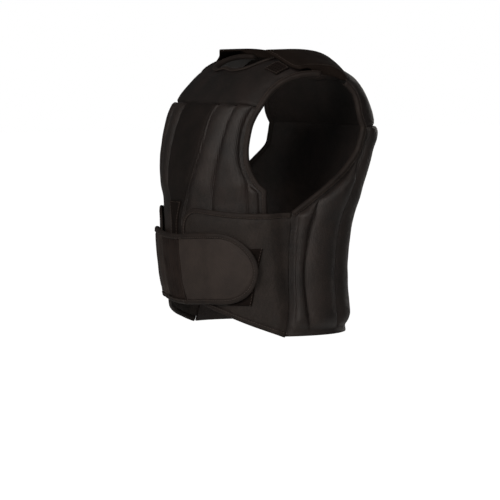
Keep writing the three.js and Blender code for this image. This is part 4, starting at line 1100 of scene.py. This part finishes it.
for side, (reach, z, _) in wings.items():
    spots = np.stack([reach, z], -1)
    path = np.concatenate([spots[-1, ::-1][1:], spots[-2:0:-1, 0], spots[0, :-1]])
    rim, inside = tongue_rims(side, path, wing_base, wing_thickness)
    folded_tape(f"wing_tape_{side}", f"wing_binding_{side}", *rim, *inside)


def elastic_rim(share, reach):
    base = elastic_base(reach) + rim_inset
    z = belt_z(share, reach)
    return on_body(reach, z, base + elastic_thickness), on_body(reach, z, base)


def tab_rim_points(side):
    reach, z, _ = tabs[side]
    spots = np.stack([reach, z], -1)
    path = np.concatenate([spots[0], spots[1:-1, -1], spots[-1, ::-1]])
    return tongue_rims(side, path, belt_bases[side], tab_thickness)


elastic_reach, tape_share = np.linspace(*elastic_ends, 20), tape_width / belt_height
bottom, bottom_in = elastic_rim(0, elastic_reach), elastic_rim(tape_share, elastic_reach)
top, top_in = elastic_rim(1, elastic_reach[::-1]), elastic_rim(1 - tape_share, elastic_reach[::-1])
left_rim, left_in = tab_rim_points("left")
right_rim, right_in = tab_rim_points("right")
rim = [np.concatenate([bottom[k], left_rim[k][1:-1], top[k], right_rim[k][1:-1]]) for k in (0, 1)]
inside = [np.concatenate([bottom_in[k], left_in[k][1:-1], top_in[k], right_in[k][1:-1]]) for k in (0, 1)]
folded_tape("belt_tape", "belt_binding", *rim, *inside, is_loop=True)

# Stitches: lockstitch in polyester thread. A row holds each tape, and more rows run round the patches
# and along the straps. Real stitches are 2.5 mm long and 0.3 mm thick; they are drawn 3.2 and 0.8.
stitch_sizes = {"Pitch": 0.0042, "Length": 0.0032, "Thickness": 0.0008}


def thread(name, low, high):
    """Twisted polyester thread, a little lighter than the cloth."""
    material, tree, shader, _ = new_cloth(name, 0.6, 0.2)
    place = add_node(tree, "ShaderNodeTexCoord").outputs["Object"]
    fibre = add_node(tree, "ShaderNodeTexNoise", Vector=place, Scale=specks(0.667), Detail=2)
    tree.links.new(colour_ramp(tree, fibre.outputs["Fac"], low, high), shader.inputs["Base Color"])
    return material


def stitching_tree(material):
    """Geometry Nodes that lay one stitch after another along each line of the mesh."""
    tree = bpy.data.node_groups.new("stitching", "GeometryNodeTree")
    tree.interface.new_socket("Geometry", in_out="INPUT", socket_type="NodeSocketGeometry")
    for name in stitch_sizes:
        tree.interface.new_socket(name, in_out="INPUT", socket_type="NodeSocketFloat")
    tree.interface.new_socket("Geometry", in_out="OUTPUT", socket_type="NodeSocketGeometry")
    given = add_node(tree, "NodeGroupInput").outputs
    lines = add_node(tree, "GeometryNodeMeshToCurve", Mesh=given["Geometry"])
    spots = add_node(tree, "GeometryNodeCurveToPoints", {"mode": "LENGTH"}, Curve=lines.outputs["Curve"],
                     Length=given["Pitch"])
    bead = add_node(tree, "GeometryNodeMeshUVSphere", Segments=6, Rings=5, Radius=0.5)
    size = add_node(tree, "ShaderNodeCombineXYZ", X=given["Thickness"], Y=given["Thickness"],
                    Z=given["Length"])
    stitch = add_node(tree, "GeometryNodeTransform", Geometry=bead.outputs["Mesh"], Scale=size.outputs[0])
    laid = add_node(tree, "GeometryNodeInstanceOnPoints", Points=spots.outputs["Points"],
                    Instance=stitch.outputs["Geometry"], Rotation=spots.outputs["Rotation"])
    real = add_node(tree, "GeometryNodeRealizeInstances", Geometry=laid.outputs["Instances"])
    painted = add_node(tree, "GeometryNodeSetMaterial", Geometry=real.outputs["Geometry"])
    painted.inputs["Material"].default_value = material
    output = add_node(tree, "NodeGroupOutput")
    tree.links.new(painted.outputs["Geometry"], output.inputs[0])
    return tree


def border(locate, first, second, lift):
    """A closed row round a patch, from the ranges of its two coordinates."""
    corners = [(first[0], second[0]), (first[1], second[0]), (first[1], second[1]), (first[0], second[1])]
    sides = [np.linspace(start, end, 12) for start, end in zip(corners, corners[1:] + corners[:1])]
    return locate(*np.concatenate(sides).T, lift)


both_sides = np.array([[1, 1, 1], [-1, 1, 1]])
patch_row_inset, row_inset, row_below_belt = 1.6, 2, 6
on_patch = gap + patch_thickness + 0.1
half_turn = patch_length * 0.45 / shoulder_span
shoulder_row = border(
    over_shoulder, (patch_start + patch_row_inset, patch_start + patch_width - patch_row_inset),
    (patch_turn - half_turn, patch_turn + half_turn), yoke_thickness + on_patch)
wing_row_z = np.linspace(-wing_patch_bottom, -wing_patch_top, 24)
wing_row_down = (-wing_row_z - wing_patch_top) / wing_patch_height
wing_row_reach = wing_patch_reach - wing_patch_lean * wing_row_down - row_inset
on_wing_patch = wing_thickness + wing_patch_gap / 2 + patch_thickness + thread_lift
wing_row = on_body(wing_row_reach, wing_row_z, wing_base(wing_row_reach) + on_wing_patch)
loop_row_z = -np.linspace(loop_top_drop + row_inset, belt_top_drop + row_below_belt, 20)
loop_row_half = loop_half(loop_row_z) - row_inset
loop_row_reach = np.concatenate([-loop_row_half[::-1], loop_row_half])
loop_row_z = np.concatenate([loop_row_z[::-1], loop_row_z])
loop_row = on_body(loop_row_reach, loop_row_z, column_lift(loop_row_z) + on_patch)
# A strap's row runs down one long edge, across the free end and back along the other edge.
row_inner, row_outer, row_free_end, row_sewn_end = 0.075, 0.925, 0.04, 0.97
strap_share = np.concatenate([np.full(30, row_inner), np.linspace(row_inner, row_outer, 24),
                              np.full(30, row_outer)])
strap_along = np.concatenate([np.linspace(row_sewn_end, row_free_end, 30), np.full(24, row_free_end),
                              np.linspace(row_free_end, row_sewn_end, 30)])
strap_row_x, strap_row_turn, strap_row_seat = strap_place(strap_share, strap_along)
strap_row = over_shoulder(strap_row_x, strap_row_turn, strap_row_seat + strap_thickness - 0.4)
for row, is_loop in ((shoulder_row, True), (wing_row, False), (strap_row, False)):
    stitch_rows += [(row * side, is_loop) for side in both_sides]
stitch_rows.append((loop_row, False))

points, edges = [], []
for row, is_loop in stitch_rows:
    start = len(points)
    points += (row * 0.001).tolist()
    edges += [(i, i + 1) for i in range(start, len(points) - 1)]
    edges += [(len(points) - 1, start)] if is_loop else []
row_mesh = bpy.data.meshes.new("stitch_rows")
row_mesh.from_pydata(points, edges, [])
row_lines = bpy.data.objects.new("stitch_rows", row_mesh)
bpy.context.scene.collection.objects.link(row_lines)
tree = stitching_tree(thread("polyester_thread", "241d1a", "38302b"))
nodes = row_lines.modifiers.new("stitches", "NODES")
nodes.node_group = tree
for item in tree.interface.items_tree:
    if item.in_out == "INPUT" and item.name in stitch_sizes:
        nodes[item.identifier] = stitch_sizes[item.name]
stitched = bpy.data.meshes.new_from_object(row_lines.evaluated_get(bpy.context.evaluated_depsgraph_get()))
bpy.data.objects.remove(row_lines)
stitched.polygons.foreach_set("use_smooth", [True] * len(stitched.polygons))
stitches = bpy.data.objects.new("stitches", stitched)
bpy.context.scene.collection.objects.link(stitches)
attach(stitches, "root")

# Camera, at the photograph's viewing angle: from the wearer's front left, near chest height, with a
# long lens from 4.5 m away.
view_turn, view_rise, view_distance = math.radians(62), math.radians(4), 4.5
across = Vector((math.cos(view_turn), math.sin(view_turn), 0))
back = Vector((math.sin(view_turn) * math.cos(view_rise), -math.cos(view_turn) * math.cos(view_rise),
               math.sin(view_rise)))
aim_aside, aim_height = -0.012, -0.273
target = across * aim_aside + Vector((0, 0, aim_height))
camera = bpy.data.objects.new("camera", bpy.data.cameras.new("camera"))
camera.data.lens, camera.data.sensor_width = 216, 36
camera.location = target + back * view_distance
camera.rotation_mode = "QUATERNION"
camera.rotation_quaternion = (-back).to_track_quat("-Z", "Y")
bpy.context.scene.collection.objects.link(camera)
bpy.context.scene.camera = camera

# Studio: a plain white floor and backdrop, and three soft area lights. The floor and the backdrop look
# brighter to the camera than they light the vest, which keeps its dark cloth from going grey.


def seen_or_lit(tree, seen, lit):
    """One strength for the camera and another for everything that the surface lights."""
    is_seen = add_node(tree, "ShaderNodeLightPath").outputs["Is Camera Ray"]
    return add_node(tree, "ShaderNodeMath", {"operation": "MULTIPLY_ADD"}, i0=is_seen, i1=seen - lit,
                    i2=lit).outputs[0]


floor_size, floor_height = 30, -1.1
floor_corners = [(x * floor_size, y * floor_size, floor_height)
                 for x, y in ((-1, -1), (1, -1), (1, 1), (-1, 1))]
floor_mesh = bpy.data.meshes.new("floor")
floor_mesh.from_pydata(floor_corners, [], [(0, 1, 2, 3)])
floor = bpy.data.objects.new("floor", floor_mesh)
floor_paint = bpy.data.materials.new("floor_paint")
floor_paint.use_nodes = True
floor_tree = floor_paint.node_tree
floor_shader = floor_tree.nodes["Principled BSDF"]
floor_shader.inputs["Base Color"].default_value = linear("fbfaf8")
floor_shader.inputs["Roughness"].default_value = 0.9
floor_shader.inputs["Emission Color"].default_value = (1, 1, 1, 1)
floor_tree.links.new(seen_or_lit(floor_tree, 0.92, 0.06), floor_shader.inputs["Emission Strength"])
floor.data.materials.append(floor_paint)
bpy.context.scene.collection.objects.link(floor)

world = bpy.data.worlds.new("studio")
world.use_nodes = True
backdrop = world.node_tree.nodes["Background"]
backdrop.inputs["Color"].default_value = (1, 1, 1, 1)
world.node_tree.links.new(seen_or_lit(world.node_tree, 1.0, 0.11), backdrop.inputs["Strength"])
bpy.context.scene.world = world
bpy.context.scene.view_settings.view_transform = "Standard"


def add_light(name, turn, rise, distance, size, power):
    """A square area light aimed at the middle of the vest. It stands turned round from the front and
    raised by degrees, at a distance and of a size in metres, and its power is in watts."""
    turn, rise = math.radians(turn), math.radians(rise)
    way = Vector((math.sin(turn) * math.cos(rise), -math.cos(turn) * math.cos(rise), math.sin(rise)))
    light = bpy.data.objects.new(name, bpy.data.lights.new(name, "AREA"))
    light.data.size, light.data.energy, light.data.color = size, power, (1, 0.95, 0.9)
    middle = Vector((0, 0, -0.2))
    light.location = middle + way * distance
    light.rotation_mode = "QUATERNION"
    light.rotation_quaternion = (-way).to_track_quat("-Z", "Y")
    bpy.context.scene.collection.objects.link(light)


add_light("key", 28, 20, 2.2, 0.8, 42)
add_light("side", 76, 34, 2.2, 1.0, 30)
add_light("rim", 215, 12, 2.4, 1.2, 14)
